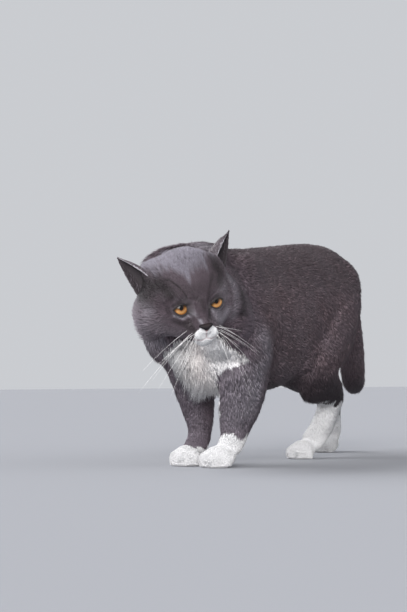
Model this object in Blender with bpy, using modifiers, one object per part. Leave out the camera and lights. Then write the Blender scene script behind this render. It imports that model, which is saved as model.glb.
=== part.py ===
"""A British Shorthair tom cat at life size, walking and looking round to its left.

The cat faces -Y, its left side is towards +X, and its paws rest on the floor at z = 0.
Sizes are in centimetres and at() turns them into Blender's metres. The outline is the coat's.

The flesh is made in one piece, so that every part flows into the next: simple round masses
are fused with voxel remeshing, smoothed, thinned out, and then parted with box cutters.
"""

import math

import bmesh
import bpy
from mathutils import Matrix, Vector

CM = 0.01
GAP = 0.0003  # clearance between neighbouring parts

# Driving sizes of the body, in centimetres.
SIDES = 28  # points round a lofted ring
BODY_VOXEL = 0.45
FACE_VOXEL = 0.25
FLESH_TRIANGLES = 4300

# Each row of a loft is x, y, z of the ring's centre, its half width and its half depth.
TRUNK = (
    (0.0, -14.0, 17.4, 2.6, 3.0),
    (0.0, -12.4, 17.8, 5.4, 5.6),
    (0.0, -9.4, 18.6, 6.8, 7.6),
    (0.0, -4.5, 18.4, 7.4, 8.8),
    (0.0, 2.0, 18.6, 7.9, 9.2),
    (0.0, 9.0, 19.2, 8.2, 9.4),
    (0.0, 15.0, 20.1, 7.9, 9.2),
    (0.0, 21.0, 21.3, 7.1, 8.6),
    (0.0, 26.0, 22.0, 5.4, 6.9),
    (0.0, 29.0, 22.2, 2.6, 3.4),
)
NECK = (
    (0.0, -2.5, 20.4, 5.6, 6.8),
    (-0.4, -8.0, 20.8, 5.7, 6.9),
    (-0.3, -12.0, 20.8, 5.6, 6.4),
    (0.8, -14.6, 20.4, 5.0, 5.4),
)
TAIL = (
    (0.0, 25.0, 24.4, 2.9, 2.9),
    (-0.2, 29.4, 23.8, 2.4, 2.4),
    (-0.6, 33.0, 21.0, 2.1, 2.1),
    (-1.2, 35.8, 17.2, 1.95, 1.95),
    (-2.0, 38.2, 13.6, 1.9, 1.9),
    (-3.0, 40.6, 11.0, 1.8, 1.8),
    (-4.0, 43.0, 9.9, 1.5, 1.5),
    (-4.7, 44.6, 10.0, 0.85, 0.85),
)
FRONT_LEGS = {
    "left": (
        (4.9, -7.4, 19.0, 2.4, 3.4),
        (5.3, -6.8, 15.4, 2.9, 4.0),
        (4.7, -6.6, 11.6, 2.8, 3.9),
        (4.0, -6.8, 8.4, 2.6, 3.3),
        (3.65, -7.2, 5.6, 2.2, 2.5),
        (3.55, -7.7, 3.5, 1.75, 1.8),
        (3.3, -8.8, 1.9, 1.7, 1.7),
    ),
    "right": (
        (-4.7, -7.0, 19.0, 2.4, 3.4),
        (-4.9, -5.8, 15.4, 2.8, 3.8),
        (-4.2, -5.0, 11.6, 2.7, 3.3),
        (-3.5, -4.9, 8.4, 2.35, 2.7),
        (-2.9, -5.3, 5.6, 1.95, 2.1),
        (-2.6, -6.0, 3.4, 1.7, 1.7),
        (-2.5, -7.1, 1.9, 1.7, 1.7),
    ),
}
HIND_LEGS = {
    "left": (
        (4.2, 19.4, 22.0, 3.3, 5.4),
        (5.2, 16.0, 18.4, 3.4, 5.5),
        (5.7, 12.2, 14.4, 3.1, 4.6),
        (5.3, 12.4, 11.4, 2.6, 3.4),
        (4.6, 16.0, 9.6, 2.2, 2.7),
        (3.9, 18.8, 7.8, 1.8, 2.0),
        (3.5, 17.5, 5.0, 1.6, 1.75),
        (3.3, 15.5, 2.9, 1.6, 1.7),
        (3.15, 13.6, 1.9, 1.6, 1.6),
    ),
    "right": (
        (-4.2, 21.0, 22.0, 3.3, 5.4),
        (-5.1, 21.4, 17.6, 3.4, 5.2),
        (-5.2, 22.2, 14.2, 3.0, 4.2),
        (-4.8, 25.2, 12.2, 2.6, 3.3),
        (-4.0, 29.4, 10.3, 2.2, 2.6),
        (-3.3, 32.4, 8.2, 1.8, 2.0),
        (-3.0, 32.8, 5.3, 1.6, 1.75),
        (-2.8, 32.3, 3.0, 1.6, 1.7),
        (-2.7, 31.3, 1.9, 1.6, 1.6),
    ),
}
# Where each shank is parted from the thigh: how far back, and how high.
SHANK_CUTS = {"left": (7.0, 9.4), "right": (23.0, 12.4)}
# Middle of each paw's toes on the floor, and the way it points, in degrees to the cat's left.
PAWS = {
    "front_left": ((3.0, -10.7), 4.0, 1.0),
    "front_right": ((-2.45, -8.9), 16.0, 1.0),
    "hind_left": ((2.9, 11.8), 6.0, 0.94),
    "hind_right": ((-2.6, 29.9), -5.0, 0.94),
}
TOE_SPREAD = 0.94
TOE_REACH = (0.75, 1.45, 1.45, 0.75)

# The head's own axes are forward, to the cat's left and up, from the middle of the skull.
HEAD_CENTRE = (3.1, -16.8, 20.2)
HEAD_TURN, HEAD_DROP, HEAD_TILT = 51.5, 22.0, 12.0
EYE_PLACE = (2.25, 2.15, 0.0)
EYE_RADIUS = 1.08
LID_OPENING = ((3.4, 2.2, -0.05), (1.0, 0.8, 0.52))
NOSE = ((5.3, 0.0, -1.75), (0.4, 0.75, 0.5))
# Each ear: foot of its front edge, foot of its outer edge, tip, and how deep it is cupped.
EARS = {
    "left": ((-1.3, 3.9, 3.2), (-3.4, 6.2, 1.7), (-4.5, 6.9, 5.9), 3.0),
    "right": ((-1.2, -3.2, 3.3), (-2.4, -7.0, 0.3), (-4.5, -7.2, 5.1), 1.9),
}
EAR_THICKNESS = 0.28
EAR_STEPS, EAR_SIDES = 5, 6

# Colour and roughness of each kind of surface.
FINISHES = {
    "coat_grey": ((0.085, 0.082, 0.098, 1.0), 0.75),
    "coat_white": ((0.80, 0.79, 0.80, 1.0), 0.75),
    "ear_grey": ((0.075, 0.068, 0.080, 1.0), 0.7),
    "iris_amber": ((0.62, 0.27, 0.05, 1.0), 0.1),
    "nose_leather": ((0.03, 0.025, 0.03, 1.0), 0.45),
}


def at(x, y, z):
    """A place given in centimetres, in metres."""
    return Vector((x, y, z)) * CM


def turned(turn, drop, tilt):
    """Axes forward, left and up of something that first faces -Y, as a 4x4 rotation."""
    facing = Matrix(((0, 1, 0), (-1, 0, 0), (0, 0, 1))).to_4x4()
    yaw = Matrix.Rotation(math.radians(turn), 4, "Z")
    pitch = Matrix.Rotation(math.radians(drop), 4, "Y")
    roll = Matrix.Rotation(math.radians(tilt), 4, "X")
    return yaw @ facing @ pitch @ roll


HEAD = Matrix.Translation(at(*HEAD_CENTRE)) @ turned(HEAD_TURN, HEAD_DROP, HEAD_TILT)


def clear_scene():
    for obj in list(bpy.data.objects):
        bpy.data.objects.remove(obj, do_unlink=True)


def material(name, finish):
    """A node's own material, of one of the named finishes."""
    colour, roughness = FINISHES[finish]
    made = bpy.data.materials.new(f"{name}_{finish}")
    made.use_nodes = True
    shader = made.node_tree.nodes["Principled BSDF"]
    shader.inputs["Base Color"].default_value = colour
    shader.inputs["Roughness"].default_value = roughness
    shader.inputs["Metallic"].default_value = 0.0
    made.diffuse_color = colour
    return made


def blob(shape, centre, radii, frame=Matrix(), turn=0.0):
    """Adds an ellipsoid, its centre and radii along the frame's axes in centimetres."""
    placed = frame @ Matrix.Translation(at(*centre)) @ Matrix.Rotation(math.radians(turn), 4, "Y")
    size = Matrix.Diagonal((*(at(*radii)), 1.0))
    bmesh.ops.create_icosphere(shape, subdivisions=3, radius=1.0, matrix=placed @ size)


def smooth_rows(rows, steps):
    """Catmull-Rom rows through the given ones, so that a loft has no corners."""
    rows = [Vector(row) for row in rows]
    ends = [rows[0] * 2 - rows[1], *rows, rows[-1] * 2 - rows[-2]]
    for i in range(1, len(ends) - 2):
        before, start, end, after = ends[i - 1 : i + 3]
        for step in range(steps):
            t = step / steps
            yield 0.5 * (
                2 * start
                + (end - before) * t
                + (2 * before - 5 * start + 4 * end - after) * t**2
                + (3 * start - before - 3 * end + after) * t**3
            )
    yield rows[-1]


def loft(shape, rows, steps=4):
    """Adds a closed tube of elliptic rings, wide along X and deep across the way it runs."""
    rows = list(smooth_rows(rows, steps))
    rings = []
    for i, row in enumerate(rows):
        ahead = Vector(rows[min(i + 1, len(rows) - 1)][:3]) - Vector(rows[max(i - 1, 0)][:3])
        ahead.normalize()
        side = (Vector((1, 0, 0)) - ahead * ahead.x).normalized()
        deep = ahead.cross(side)
        ring = []
        for n in range(SIDES):
            angle = 2 * math.pi * n / SIDES
            across = side * (row[3] * math.cos(angle)) + deep * (row[4] * math.sin(angle))
            ring.append(shape.verts.new((Vector(row[:3]) + across) * CM))
        rings.append(ring)
    for ring, following in zip(rings, rings[1:]):
        for n in range(SIDES):
            m = (n + 1) % SIDES
            shape.faces.new((ring[n], ring[m], following[m], following[n]))
    shape.faces.new(reversed(rings[0]))
    shape.faces.new(rings[-1])


def skull(shape):
    """The round masses that carry the head's bulk and run into the neck."""
    blob(shape, (-1.0, 0.0, 0.8), (5.0, 5.2, 4.7), HEAD)  # cranium
    blob(shape, (0.8, 0.0, -2.3), (3.4, 3.7, 2.4), HEAD)  # jaw
    for side in (-1, 1):
        blob(shape, (-1.0, 3.4 * side, -0.8), (3.5, 3.1, 3.3), HEAD)  # cheek


def face(shape):
    """The smaller masses of the face, which keep their form."""
    blob(shape, (2.1, 0.0, -0.7), (1.7, 3.4, 2.6), HEAD)
    blob(shape, (3.5, 0.0, -0.6), (1.4, 0.95, 1.9), HEAD, turn=30.0)  # bridge of the nose
    blob(shape, (4.9, 0.0, -1.75), (0.7, 0.85, 0.65), HEAD)  # tip of the nose
    blob(shape, (3.9, 0.0, -3.8), (1.1, 1.25, 0.85), HEAD)  # chin
    for side in (-1, 1):
        blob(shape, (1.9, 2.2 * side, 1.5), (1.7, 1.9, 1.3), HEAD)  # brow
        blob(shape, (4.1, 0.95 * side, -2.7), (1.25, 1.25, 1.05), HEAD)  # whisker pad


def shoulders_and_haunches(shape):
    """Muscle that stands out from the trunk."""
    for side in (-1, 1):
        blob(shape, (4.4 * side, -5.4, 22.6 - 0.4 * side), (2.2, 3.0, 4.4))  # shoulder blade
        blob(shape, (3.6 * side, 21.5, 22.5), (3.6, 4.6, 5.4))  # rump
        blob(shape, (3.5 * side, -10.6, 17.2), (4.1, 3.6, 4.9))  # ruff
    blob(shape, (0.0, -10.4, 12.6), (3.2, 3.4, 3.8))  # breast
    blob(shape, (0.0, 3.0, 12.3), (5.6, 12.0, 2.6))  # belly


def paw(shape, centre, heading, size):
    """Toes in an arc before a round palm, set a little below the floor, which cuts them flat."""
    frame = Matrix.Translation(at(*centre, 0.0)) @ turned(heading, 0.0, 0.0)
    blob(shape, (-0.6, 0.0, 1.3 * size), (2.2 * size, 1.8 * size, 1.45 * size), frame)
    for n, reach in enumerate(TOE_REACH):
        across = (n - 1.5) * TOE_SPREAD * size
        blob(shape, (reach * size, across, 0.9 * size), (1.2 * size, 0.66 * size, 1.15 * size), frame)


def remeshed(shape, voxel, iterations, name):
    """The shapes fused into one skin of this voxel size and smoothed, as a new mesh."""
    mesh = bpy.data.meshes.new(name)
    shape.to_mesh(mesh)
    shape.free()
    obj = bpy.data.objects.new(name, mesh)
    bpy.context.scene.collection.objects.link(obj)
    fuse = obj.modifiers.new("fuse", "REMESH")
    fuse.mode = "VOXEL"
    fuse.voxel_size = voxel * CM
    relax = obj.modifiers.new("relax", "SMOOTH")
    relax.factor = 0.5
    relax.iterations = iterations
    return taken(obj)


def taken(obj):
    """The object's evaluated mesh. The object is removed."""
    bpy.context.view_layer.update()
    graph = bpy.context.evaluated_depsgraph_get()
    mesh = bpy.data.meshes.new_from_object(obj.evaluated_get(graph))
    bpy.data.objects.remove(obj, do_unlink=True)
    return mesh


def body_mesh():
    """Trunk, neck, legs and skull, blended broadly."""
    shape = bmesh.new()
    for rows in (TRUNK, NECK, TAIL, *FRONT_LEGS.values(), *HIND_LEGS.values()):
        loft(shape, rows)
    shoulders_and_haunches(shape)
    skull(shape)
    return remeshed(shape, BODY_VOXEL, 14, "body")


def flesh_mesh():
    """The whole animal but for ears and eyes, thinned to its triangle budget.

    The skull and tail go in again, because smoothing the body has shrunk them.
    """
    shape = bmesh.new()
    shape.from_mesh(body_mesh())
    skull(shape)
    face(shape)
    loft(shape, TAIL)
    for centre, heading, size in PAWS.values():
        paw(shape, centre, heading, size)
    mesh = remeshed(shape, FACE_VOXEL, 4, "flesh")
    obj = bpy.data.objects.new("flesh", mesh)
    bpy.context.scene.collection.objects.link(obj)
    thin = obj.modifiers.new("thin", "DECIMATE")
    thin.ratio = FLESH_TRIANGLES / (2 * len(mesh.polygons))
    thin.use_collapse_triangulate = True
    return taken(obj)


def ear_rings(front, outer, tip, cup):
    """Rings round an ear that is an upright trough, from its foot to its tip."""
    front, outer, tip = Vector(front), Vector(outer), Vector(tip)
    opening = (outer - front).cross(tip - front).normalized()
    if opening.x < 0:
        opening.negate()
    foot = (front + outer) / 2
    root = foot - (tip - foot) * 0.25
    for step in range(EAR_STEPS + 1):
        t = step / EAR_STEPS
        swell = 1 - t**1.7 * 0.93 - (1 - t) ** 2 * 0.06
        wide = (outer - front) / 2 * swell
        deep = opening * (cup * (1 - t) ** 0.8 + 0.12)
        middle = root.lerp(tip, t) - opening * (0.5 * (1 - t))
        thick = EAR_THICKNESS * (1 - 0.55 * t)
        yield [
            middle
            + wide.normalized() * ((wide.length + grown) * math.cos(angle))
            - deep.normalized() * ((deep.length + grown) * math.sin(angle))
            for grown, angle in ear_ring_places(thick / 2)
        ]


def ear_ring_places(half):
    """(how far outward, angle) round a thin half ring: along its back and home along its hollow."""
    for n in range(EAR_SIDES + 1):
        yield half, math.pi * n / EAR_SIDES
    for n in range(EAR_SIDES, -1, -1):
        yield -half, math.pi * n / EAR_SIDES


def ear_mesh(name, ear):
    """A thin cupped ear, still reaching into the head."""
    shape = bmesh.new()
    rings = []
    for ring in ear_rings(*ear):
        rings.append([shape.verts.new(HEAD @ (point * CM)) for point in ring])
    count = len(rings[0])
    for ring, following in zip(rings, rings[1:]):
        for n in range(count):
            m = (n + 1) % count
            shape.faces.new((ring[n], ring[m], following[m], following[n]))
    shape.faces.new(reversed(rings[0]))
    shape.faces.new(rings[-1])
    bmesh.ops.triangulate(shape, faces=[f for f in shape.faces if len(f.verts) > 4])
    bmesh.ops.recalc_face_normals(shape, faces=shape.faces)
    mesh = bpy.data.meshes.new(name)
    shape.to_mesh(mesh)
    shape.free()
    return mesh


def ball_mesh(name, centre, radii, grown=0.0):
    """An ellipsoid in the head's frame, grown by so many metres."""
    shape = bmesh.new()
    size = Matrix.Diagonal((*(at(*radii) + Vector((grown,) * 3)), 1.0))
    place = HEAD @ Matrix.Translation(at(*centre)) @ size
    bmesh.ops.create_icosphere(shape, subdivisions=2, radius=1.0, matrix=place)
    mesh = bpy.data.meshes.new(name)
    shape.to_mesh(mesh)
    shape.free()
    return mesh


def helper(name, mesh, collection):
    """A hidden object that only cuts."""
    obj = bpy.data.objects.new(name, mesh)
    obj.display_type = "WIRE"
    obj.hide_render = True
    collection.objects.link(obj)
    return obj


def box_cutter(name, frame, low, high, grown, collection):
    """A box between two corners of the frame, in centimetres, grown by so many metres."""
    low, high = at(*low), at(*high)
    size = high - low + Vector((1, 1, 1)) * (2 * grown)
    mesh = bpy.data.meshes.new(name)
    shape = bmesh.new()
    place = frame @ Matrix.Translation((low + high) / 2) @ Matrix.Diagonal((*size, 1.0))
    bmesh.ops.create_cube(shape, size=1.0, matrix=place)
    shape.to_mesh(mesh)
    shape.free()
    return helper(name, mesh, collection)


def cut(mesh, cutter, operation):
    """The mesh cut once by the cutter, as a new mesh."""
    obj = bpy.data.objects.new("cut", mesh)
    bpy.context.scene.collection.objects.link(obj)
    knife = obj.modifiers.new("knife", "BOOLEAN")
    knife.operation = operation
    knife.object = cutter
    return taken(obj)


def tipped(origin, degrees):
    """A level frame at the origin, in centimetres, turned about X."""
    return Matrix.Translation(at(*origin)) @ Matrix.Rotation(math.radians(degrees), 4, "X")


def mirrored_span(side, inner, outer=20.0):
    """The span of X from inner to outer on the cat's left, or its mirror on the right."""
    return (inner, outer) if side == "left" else (-outer, -inner)


def leg_cuts(side):
    """(name, finish, frame, low corner, high corner) of a side's leg pieces, paws first."""
    level = Matrix()
    leg, arm = mirrored_span(side, 0.15), mirrored_span(side, 2.9)
    stifle = HIND_LEGS[side][3][1] - 5.4
    behind, shank_top = SHANK_CUTS[side]
    cuts = (
        ("front_paw", "coat_white", leg, (-20.0, 0.0), 3.4),
        ("forearm", "coat_grey", leg, (-20.0, 0.0), 8.7),
        ("upper_arm", "coat_grey", arm, (-11.6, -1.2), 19.6),
        ("hind_paw", "coat_white", leg, (stifle, 60.0), 3.3),
        ("shank", "coat_grey", leg, (behind, 60.0), shank_top),
        ("thigh", "coat_grey", arm, (stifle, 34.0), 22.6),
    )
    for name, finish, wide, long, top in cuts:
        yield f"{name}_{side}", finish, level, (wide[0], long[0], -3.0), (wide[1], long[1], top)


def all_cuts():
    """Every cut in the order that it is made. What is left over is the chest."""
    level = Matrix()
    yield "head", "coat_grey", HEAD, (-4.7, -7.4, -5.0), (9.0, 7.4, 9.0)
    yield "neck", "coat_grey", tipped((0.0, -10.4, 21.0), 62.0), (-12.0, -16.0, 0.0), (12.0, 16.0, 16.0)
    yield "tail_tip", "coat_grey", level, (-20.0, 39.0, 0.0), (20.0, 60.0, 30.0)
    yield "tail_middle", "coat_grey", level, (-20.0, 35.2, 0.0), (20.0, 39.0, 30.0)
    yield "tail_base", "coat_grey", tipped((0.0, 29.4, 23.9), -113.0), (-4.5, -4.5, 0.0), (4.5, 7.5, 14.0)
    for side in ("left", "right"):
        yield from leg_cuts(side)
    yield "hips", "coat_grey", level, (-20.0, 14.0, 0.0), (20.0, 60.0, 40.0)
    yield "barrel", "coat_grey", level, (-20.0, -1.0, 0.0), (20.0, 14.0, 40.0)


def grown_copy(mesh, distance):
    """The mesh with every vertex moved outward along its normal."""
    copy = mesh.copy()
    for vertex in copy.vertices:
        vertex.co += vertex.normal * distance
    return copy


def place_part(name, mesh, finish, collection):
    obj = bpy.data.objects.new(name, mesh)
    mesh.materials.clear()
    mesh.materials.append(material(name, finish))
    mesh.shade_smooth()
    collection.objects.link(obj)
    return obj


def eyes_nose_and_ears(flesh, cat, cutters):
    """Adds these parts and returns the flesh with their seats cut out."""
    swollen = helper("swollen_flesh", grown_copy(flesh, GAP), cutters)
    for side, ear in EARS.items():
        mesh = cut(ear_mesh(f"ear_{side}", ear), swollen, "DIFFERENCE")
        place_part(f"ear_{side}", mesh, "ear_grey", cat)
    seats = []
    for side, sign in (("left", 1), ("right", -1)):
        forward, across, up = EYE_PLACE
        centre, radii = (forward, across * sign, up), (EYE_RADIUS,) * 3
        place_part(f"eye_{side}", ball_mesh(f"eye_{side}", centre, radii), "iris_amber", cat)
        seats.append(ball_mesh(f"eye_seat_{side}", centre, radii, GAP))
        (forward, across, up), radii = LID_OPENING
        seats.append(ball_mesh(f"lids_{side}", (forward, across * sign, up), radii))
    place_part("nose", ball_mesh("nose", *NOSE), "nose_leather", cat)
    seats.append(ball_mesh("nose_seat", *NOSE, GAP))
    for seat in seats:
        flesh = cut(flesh, helper(seat.name, seat, cutters), "DIFFERENCE")
    return flesh


def part_flesh(flesh, cat, cutters):
    """Cuts the flesh into its named parts, a gap apart."""
    for name, finish, frame, low, high in all_cuts():
        inside = box_cutter(f"{name}_inside", frame, low, high, -GAP / 2, cutters)
        outside = box_cutter(f"{name}_outside", frame, low, high, GAP / 2, cutters)
        place_part(name, cut(flesh.copy(), inside, "INTERSECT"), finish, cat)
        flesh = cut(flesh, outside, "DIFFERENCE")
    place_part("chest", flesh, "coat_grey", cat)


def centre_on_origin(collection):
    """Moves the meshes so that the middle of the whole cat's footprint is the origin."""
    corners = [Vector(v.co) for obj in collection.objects for v in obj.data.vertices]
    middle = [(min(c[k] for c in corners) + max(c[k] for c in corners)) / 2 for k in (0, 1)]
    for obj in collection.objects:
        obj.data.transform(Matrix.Translation((-middle[0], -middle[1], 0.0)))


def main():
    clear_scene()
    cat = bpy.data.collections.new("cat")
    cutters = bpy.data.collections.new("cutters")
    cutters.hide_render = True
    bpy.context.scene.collection.children.link(cat)
    bpy.context.scene.collection.children.link(cutters)
    floor = box_cutter("floor", Matrix(), (-60.0, -60.0, -20.0), (60.0, 60.0, 0.0), 0.0, cutters)
    flesh = cut(flesh_mesh(), floor, "DIFFERENCE")
    flesh = eyes_nose_and_ears(flesh, cat, cutters)
    part_flesh(flesh, cat, cutters)
    centre_on_origin(cat)


main()
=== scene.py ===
import math

import bmesh
import bpy
import numpy as np
from mathutils import Matrix, Vector
from mathutils.bvhtree import BVHTree


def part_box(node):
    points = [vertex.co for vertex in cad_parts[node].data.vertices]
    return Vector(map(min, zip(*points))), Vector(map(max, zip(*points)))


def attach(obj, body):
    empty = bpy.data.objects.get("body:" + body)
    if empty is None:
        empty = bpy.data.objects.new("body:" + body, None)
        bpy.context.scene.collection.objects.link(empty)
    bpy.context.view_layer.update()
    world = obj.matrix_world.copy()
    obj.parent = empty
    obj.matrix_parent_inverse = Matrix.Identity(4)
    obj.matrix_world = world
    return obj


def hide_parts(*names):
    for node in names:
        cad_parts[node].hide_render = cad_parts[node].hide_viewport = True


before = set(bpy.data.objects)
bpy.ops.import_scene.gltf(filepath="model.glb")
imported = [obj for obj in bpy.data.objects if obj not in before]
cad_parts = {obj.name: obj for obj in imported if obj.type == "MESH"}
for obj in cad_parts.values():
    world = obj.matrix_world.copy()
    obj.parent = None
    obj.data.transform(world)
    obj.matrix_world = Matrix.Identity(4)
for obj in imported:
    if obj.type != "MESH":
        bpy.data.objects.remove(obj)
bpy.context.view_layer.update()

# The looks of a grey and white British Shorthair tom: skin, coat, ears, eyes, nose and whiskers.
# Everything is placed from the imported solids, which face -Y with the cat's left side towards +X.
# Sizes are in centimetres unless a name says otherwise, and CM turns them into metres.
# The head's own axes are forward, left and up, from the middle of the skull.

CM = 0.01
SEED = 7

# The camera, in metres and degrees.
CAMERA_PLACE = (0.9577, -1.7986, 0.101)
CAMERA_AZIMUTH, CAMERA_PITCH, CAMERA_ROLL = 31.0, 2.98, 0.5
CAMERA_LENS = 88.24

# Places on the head, as in the solids.
EYE_FORWARD, EYE_ACROSS = 2.25, 2.15
NOSE_BELOW_EYES, NOSE_BEFORE_EYES = 1.75, 3.05
EYE_RADIUS = 1.08
NOSE_TIP = (5.45, 0.0, -1.6)
HEAD_REACH = 8.5  # how far from the middle of the skull the head's own forms go
SIDES = (-1, 1)  # right and left

# Skin: how it is made from the solids.
WELD_M = 0.00002
FATTEN_M = 0.0005
SKIN_VOXEL_M = 0.0031
SEAM_WIDTH, SEAM_ROUNDS = 40, 90  # rounds of smoothing that spread a seam, and that fill it
FLESH = [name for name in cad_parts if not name.startswith("ear")]

# Coat on each kind of place: depth under the solids, tuft length and width, spacing, lift.
DEPTH, LENGTH, WIDTH, SPACING, LIFT = range(5)
COAT = {
    "trunk": (0.36, 1.15, 0.126, 0.138, 28.0),
    "bib": (0.36, 1.30, 0.085, 0.106, 12.0),
    "leg": (0.24, 0.85, 0.10, 0.115, 26.0),
    "paw": (0.10, 0.42, 0.075, 0.085, 22.0),
    "tail": (0.34, 1.2, 0.12, 0.125, 30.0),
    "head": (0.20, 0.80, 0.095, 0.108, 26.0),
    "face": (0.09, 0.34, 0.06, 0.070, 20.0),
    "muzzle": (0.09, 0.27, 0.042, 0.050, 13.0),
}

CHEEK_MORE = (0.0, 0.75, 0.1, 0.0, 0.15)  # how much more of each the cheeks have

# Each part of the body: its kind of coat, the way the coat lies in the body's axes, the group whose
# seams with other groups are filled (0 for none), and its coat's piece.
BACKWARD, DOWN_AND_BACK = (0.0, 1.0, -0.35), (0.0, 0.55, -0.85)
DOWNWARD, TO_THE_TOES = (0.0, 0.25, -1.0), (0.0, -0.9, -0.35)
KIND, LIE, GROUP, PIECE = range(4)
PARTS = {
    "head": ("head", BACKWARD, 1, "crown"),
    "eye": ("head", BACKWARD, 0, "crown"),
    "nose": ("head", BACKWARD, 0, "crown"),
    "neck": ("trunk", BACKWARD, 2, "neck"),
    "chest": ("trunk", BACKWARD, 2, "chest"),
    "barrel": ("trunk", BACKWARD, 2, "barrel"),
    "hips": ("trunk", BACKWARD, 2, "hips"),
    "upper_arm": ("trunk", DOWN_AND_BACK, 3, "upper_arm"),
    "thigh": ("trunk", DOWN_AND_BACK, 4, "thigh"),
    "forearm": ("leg", DOWNWARD, 0, "foreleg"),
    "shank": ("leg", DOWNWARD, 0, "hind_leg"),
    "front_paw": ("paw", TO_THE_TOES, 0, "foreleg"),
    "hind_paw": ("paw", TO_THE_TOES, 0, "hind_leg"),
    "tail": ("tail", (-0.15, 0.55, -0.8), 0, "tail"),
}

GREY_DARK = np.array((0.020, 0.014, 0.017))
GREY = np.array((0.125, 0.096, 0.116))
# Painted warm bounce light on the flank, back and neck, as from a wooden chair.
GREY_BOUNCE_WARM = np.array((0.132, 0.095, 0.106))
# Silver grey: on the crown partly real frosting and partly a painted highlight from the light above; on
# the forearms partly real paler hair and partly painted light.
GREY_SILVER = np.array((0.20, 0.185, 0.22))
HEAD_GREY = np.array((0.093, 0.070, 0.085))
# Pale grey for real pale marks and for painted light on the head and body.
PALE_MARK_AND_LIGHT = np.array((0.30, 0.28, 0.315))
WHITE = np.array((0.78, 0.78, 0.79))
# Painted light and shade on the white bib: a beige painted shadow under the chin, and painted light on
# its side towards the cat's left.
BIB_CHIN_SHADOW, BIB_LIT = np.array((0.95, 0.90, 0.88)), np.array((1.0, 0.98, 0.98))
LIP_PINK, LIP_HALF_WIDTH = np.array((0.45, 0.24, 0.25)), 0.09


# ---- places


def middle(node):
    low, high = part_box(node)
    return (Vector(low) + Vector(high)) / 2


def head_frame():
    """The head's axes as columns, and the middle of the skull, from the eyes' and nose's solids."""
    left_eye, right_eye, nose = (middle(node) for node in ("eye_left", "eye_right", "nose"))
    between = (left_eye + right_eye) / 2
    left = (left_eye - right_eye).normalized()
    ahead = (nose - between).normalized()
    above = ahead.cross(left)
    drop = math.atan2(NOSE_BELOW_EYES, NOSE_BEFORE_EYES)
    forward = ahead * math.cos(drop) + above * math.sin(drop)
    up = above * math.cos(drop) - ahead * math.sin(drop)
    axes = np.array((forward, left, up)).T
    return axes, np.array(between - forward * (EYE_FORWARD * CM))


HEAD_AXES, HEAD_MIDDLE = head_frame()


def on_head(points):
    """Points of the head's frame, in centimetres, as places in metres."""
    return HEAD_MIDDLE + (np.asarray(points) * CM) @ HEAD_AXES.T


def in_head(places):
    """Places in metres as points of the head's frame, in centimetres."""
    return (np.asarray(places) - HEAD_MIDDLE) @ HEAD_AXES / CM


def ramp(values, low, high):
    """A smooth step from 0 at low to 1 at high."""
    t = np.clip((np.asarray(values) - low) / (high - low), 0.0, 1.0)
    return t * t * (3.0 - 2.0 * t)


def unit(vectors):
    return vectors / np.maximum(np.linalg.norm(vectors, axis=-1, keepdims=True), 1e-12)


def bell(values, width):
    """1 where the values are 0, and less and less over this width."""
    return np.exp(-((values / width) ** 2))


def mixed(colours, other, share):
    """Colours with a share of another one, or of another for each."""
    return colours + (other - colours) * np.reshape(share, (-1, 1))


def waves(points, size, seed):
    """Smooth noise in about -1..1 at points in centimetres, with bumps about size across."""
    rng = np.random.default_rng(seed)
    total = np.zeros(len(points))
    for _ in range(6):
        way = unit(rng.normal(size=3)) * (2 * math.pi / size) * rng.uniform(0.35, 0.75)
        total += np.sin(points @ way + rng.uniform(0, 2 * math.pi))
    return total / 3.0


# ---- skin


def arrays(mesh):
    """Vertex places and normals and the edges of a mesh."""
    count = len(mesh.vertices)
    places, normals = np.empty(count * 3), np.empty(count * 3)
    edges = np.empty(len(mesh.edges) * 2, dtype=np.int64)
    mesh.vertices.foreach_get("co", places)
    mesh.vertices.foreach_get("normal", normals)
    mesh.edges.foreach_get("vertices", edges)
    return places.reshape(-1, 3), normals.reshape(-1, 3), edges.reshape(-1, 2)


def averaged(values, edges):
    """Each vertex's mean over its neighbours."""
    count = len(values)
    degree = np.bincount(edges.ravel(), minlength=count)[:, None]
    total = np.empty_like(values)
    for k in range(values.shape[1]):
        column = values[:, k]
        total[:, k] = np.bincount(edges[:, 0], column[edges[:, 1]], count)
        total[:, k] += np.bincount(edges[:, 1], column[edges[:, 0]], count)
    return total / np.maximum(degree, 1)


def relaxed(values, edges, rounds, strength=0.5, keep=0.0):
    """Values smoothed over the mesh. With keep, each round gives back part of what it took."""
    values = values.copy()
    for _ in range(rounds):
        values += strength * (averaged(values, edges) - values)
        if keep:
            values -= keep * (averaged(values, edges) - values)
    return values


def fused_flesh():
    """All the flesh solids, with eyes and nose filled in, as one mesh."""
    shape = bmesh.new()
    for name in FLESH:
        part = bmesh.new()
        part.from_mesh(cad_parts[name].data)
        bmesh.ops.remove_doubles(part, verts=part.verts, dist=WELD_M)
        part.normal_update()
        for vertex in part.verts:
            vertex.co += vertex.normal * FATTEN_M
        mesh = bpy.data.meshes.new(name)
        part.to_mesh(mesh)
        part.free()
        shape.from_mesh(mesh)
        bpy.data.meshes.remove(mesh)
    mesh = bpy.data.meshes.new("skin")
    shape.to_mesh(mesh)
    shape.free()
    obj = linked("fused", mesh)
    fuse = obj.modifiers.new("fuse", "REMESH")
    fuse.mode = "VOXEL"
    fuse.voxel_size = SKIN_VOXEL_M
    bpy.context.view_layer.update()
    fused = bpy.data.meshes.new_from_object(obj.evaluated_get(bpy.context.evaluated_depsgraph_get()))
    bpy.data.objects.remove(obj, do_unlink=True)
    return fused


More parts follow.
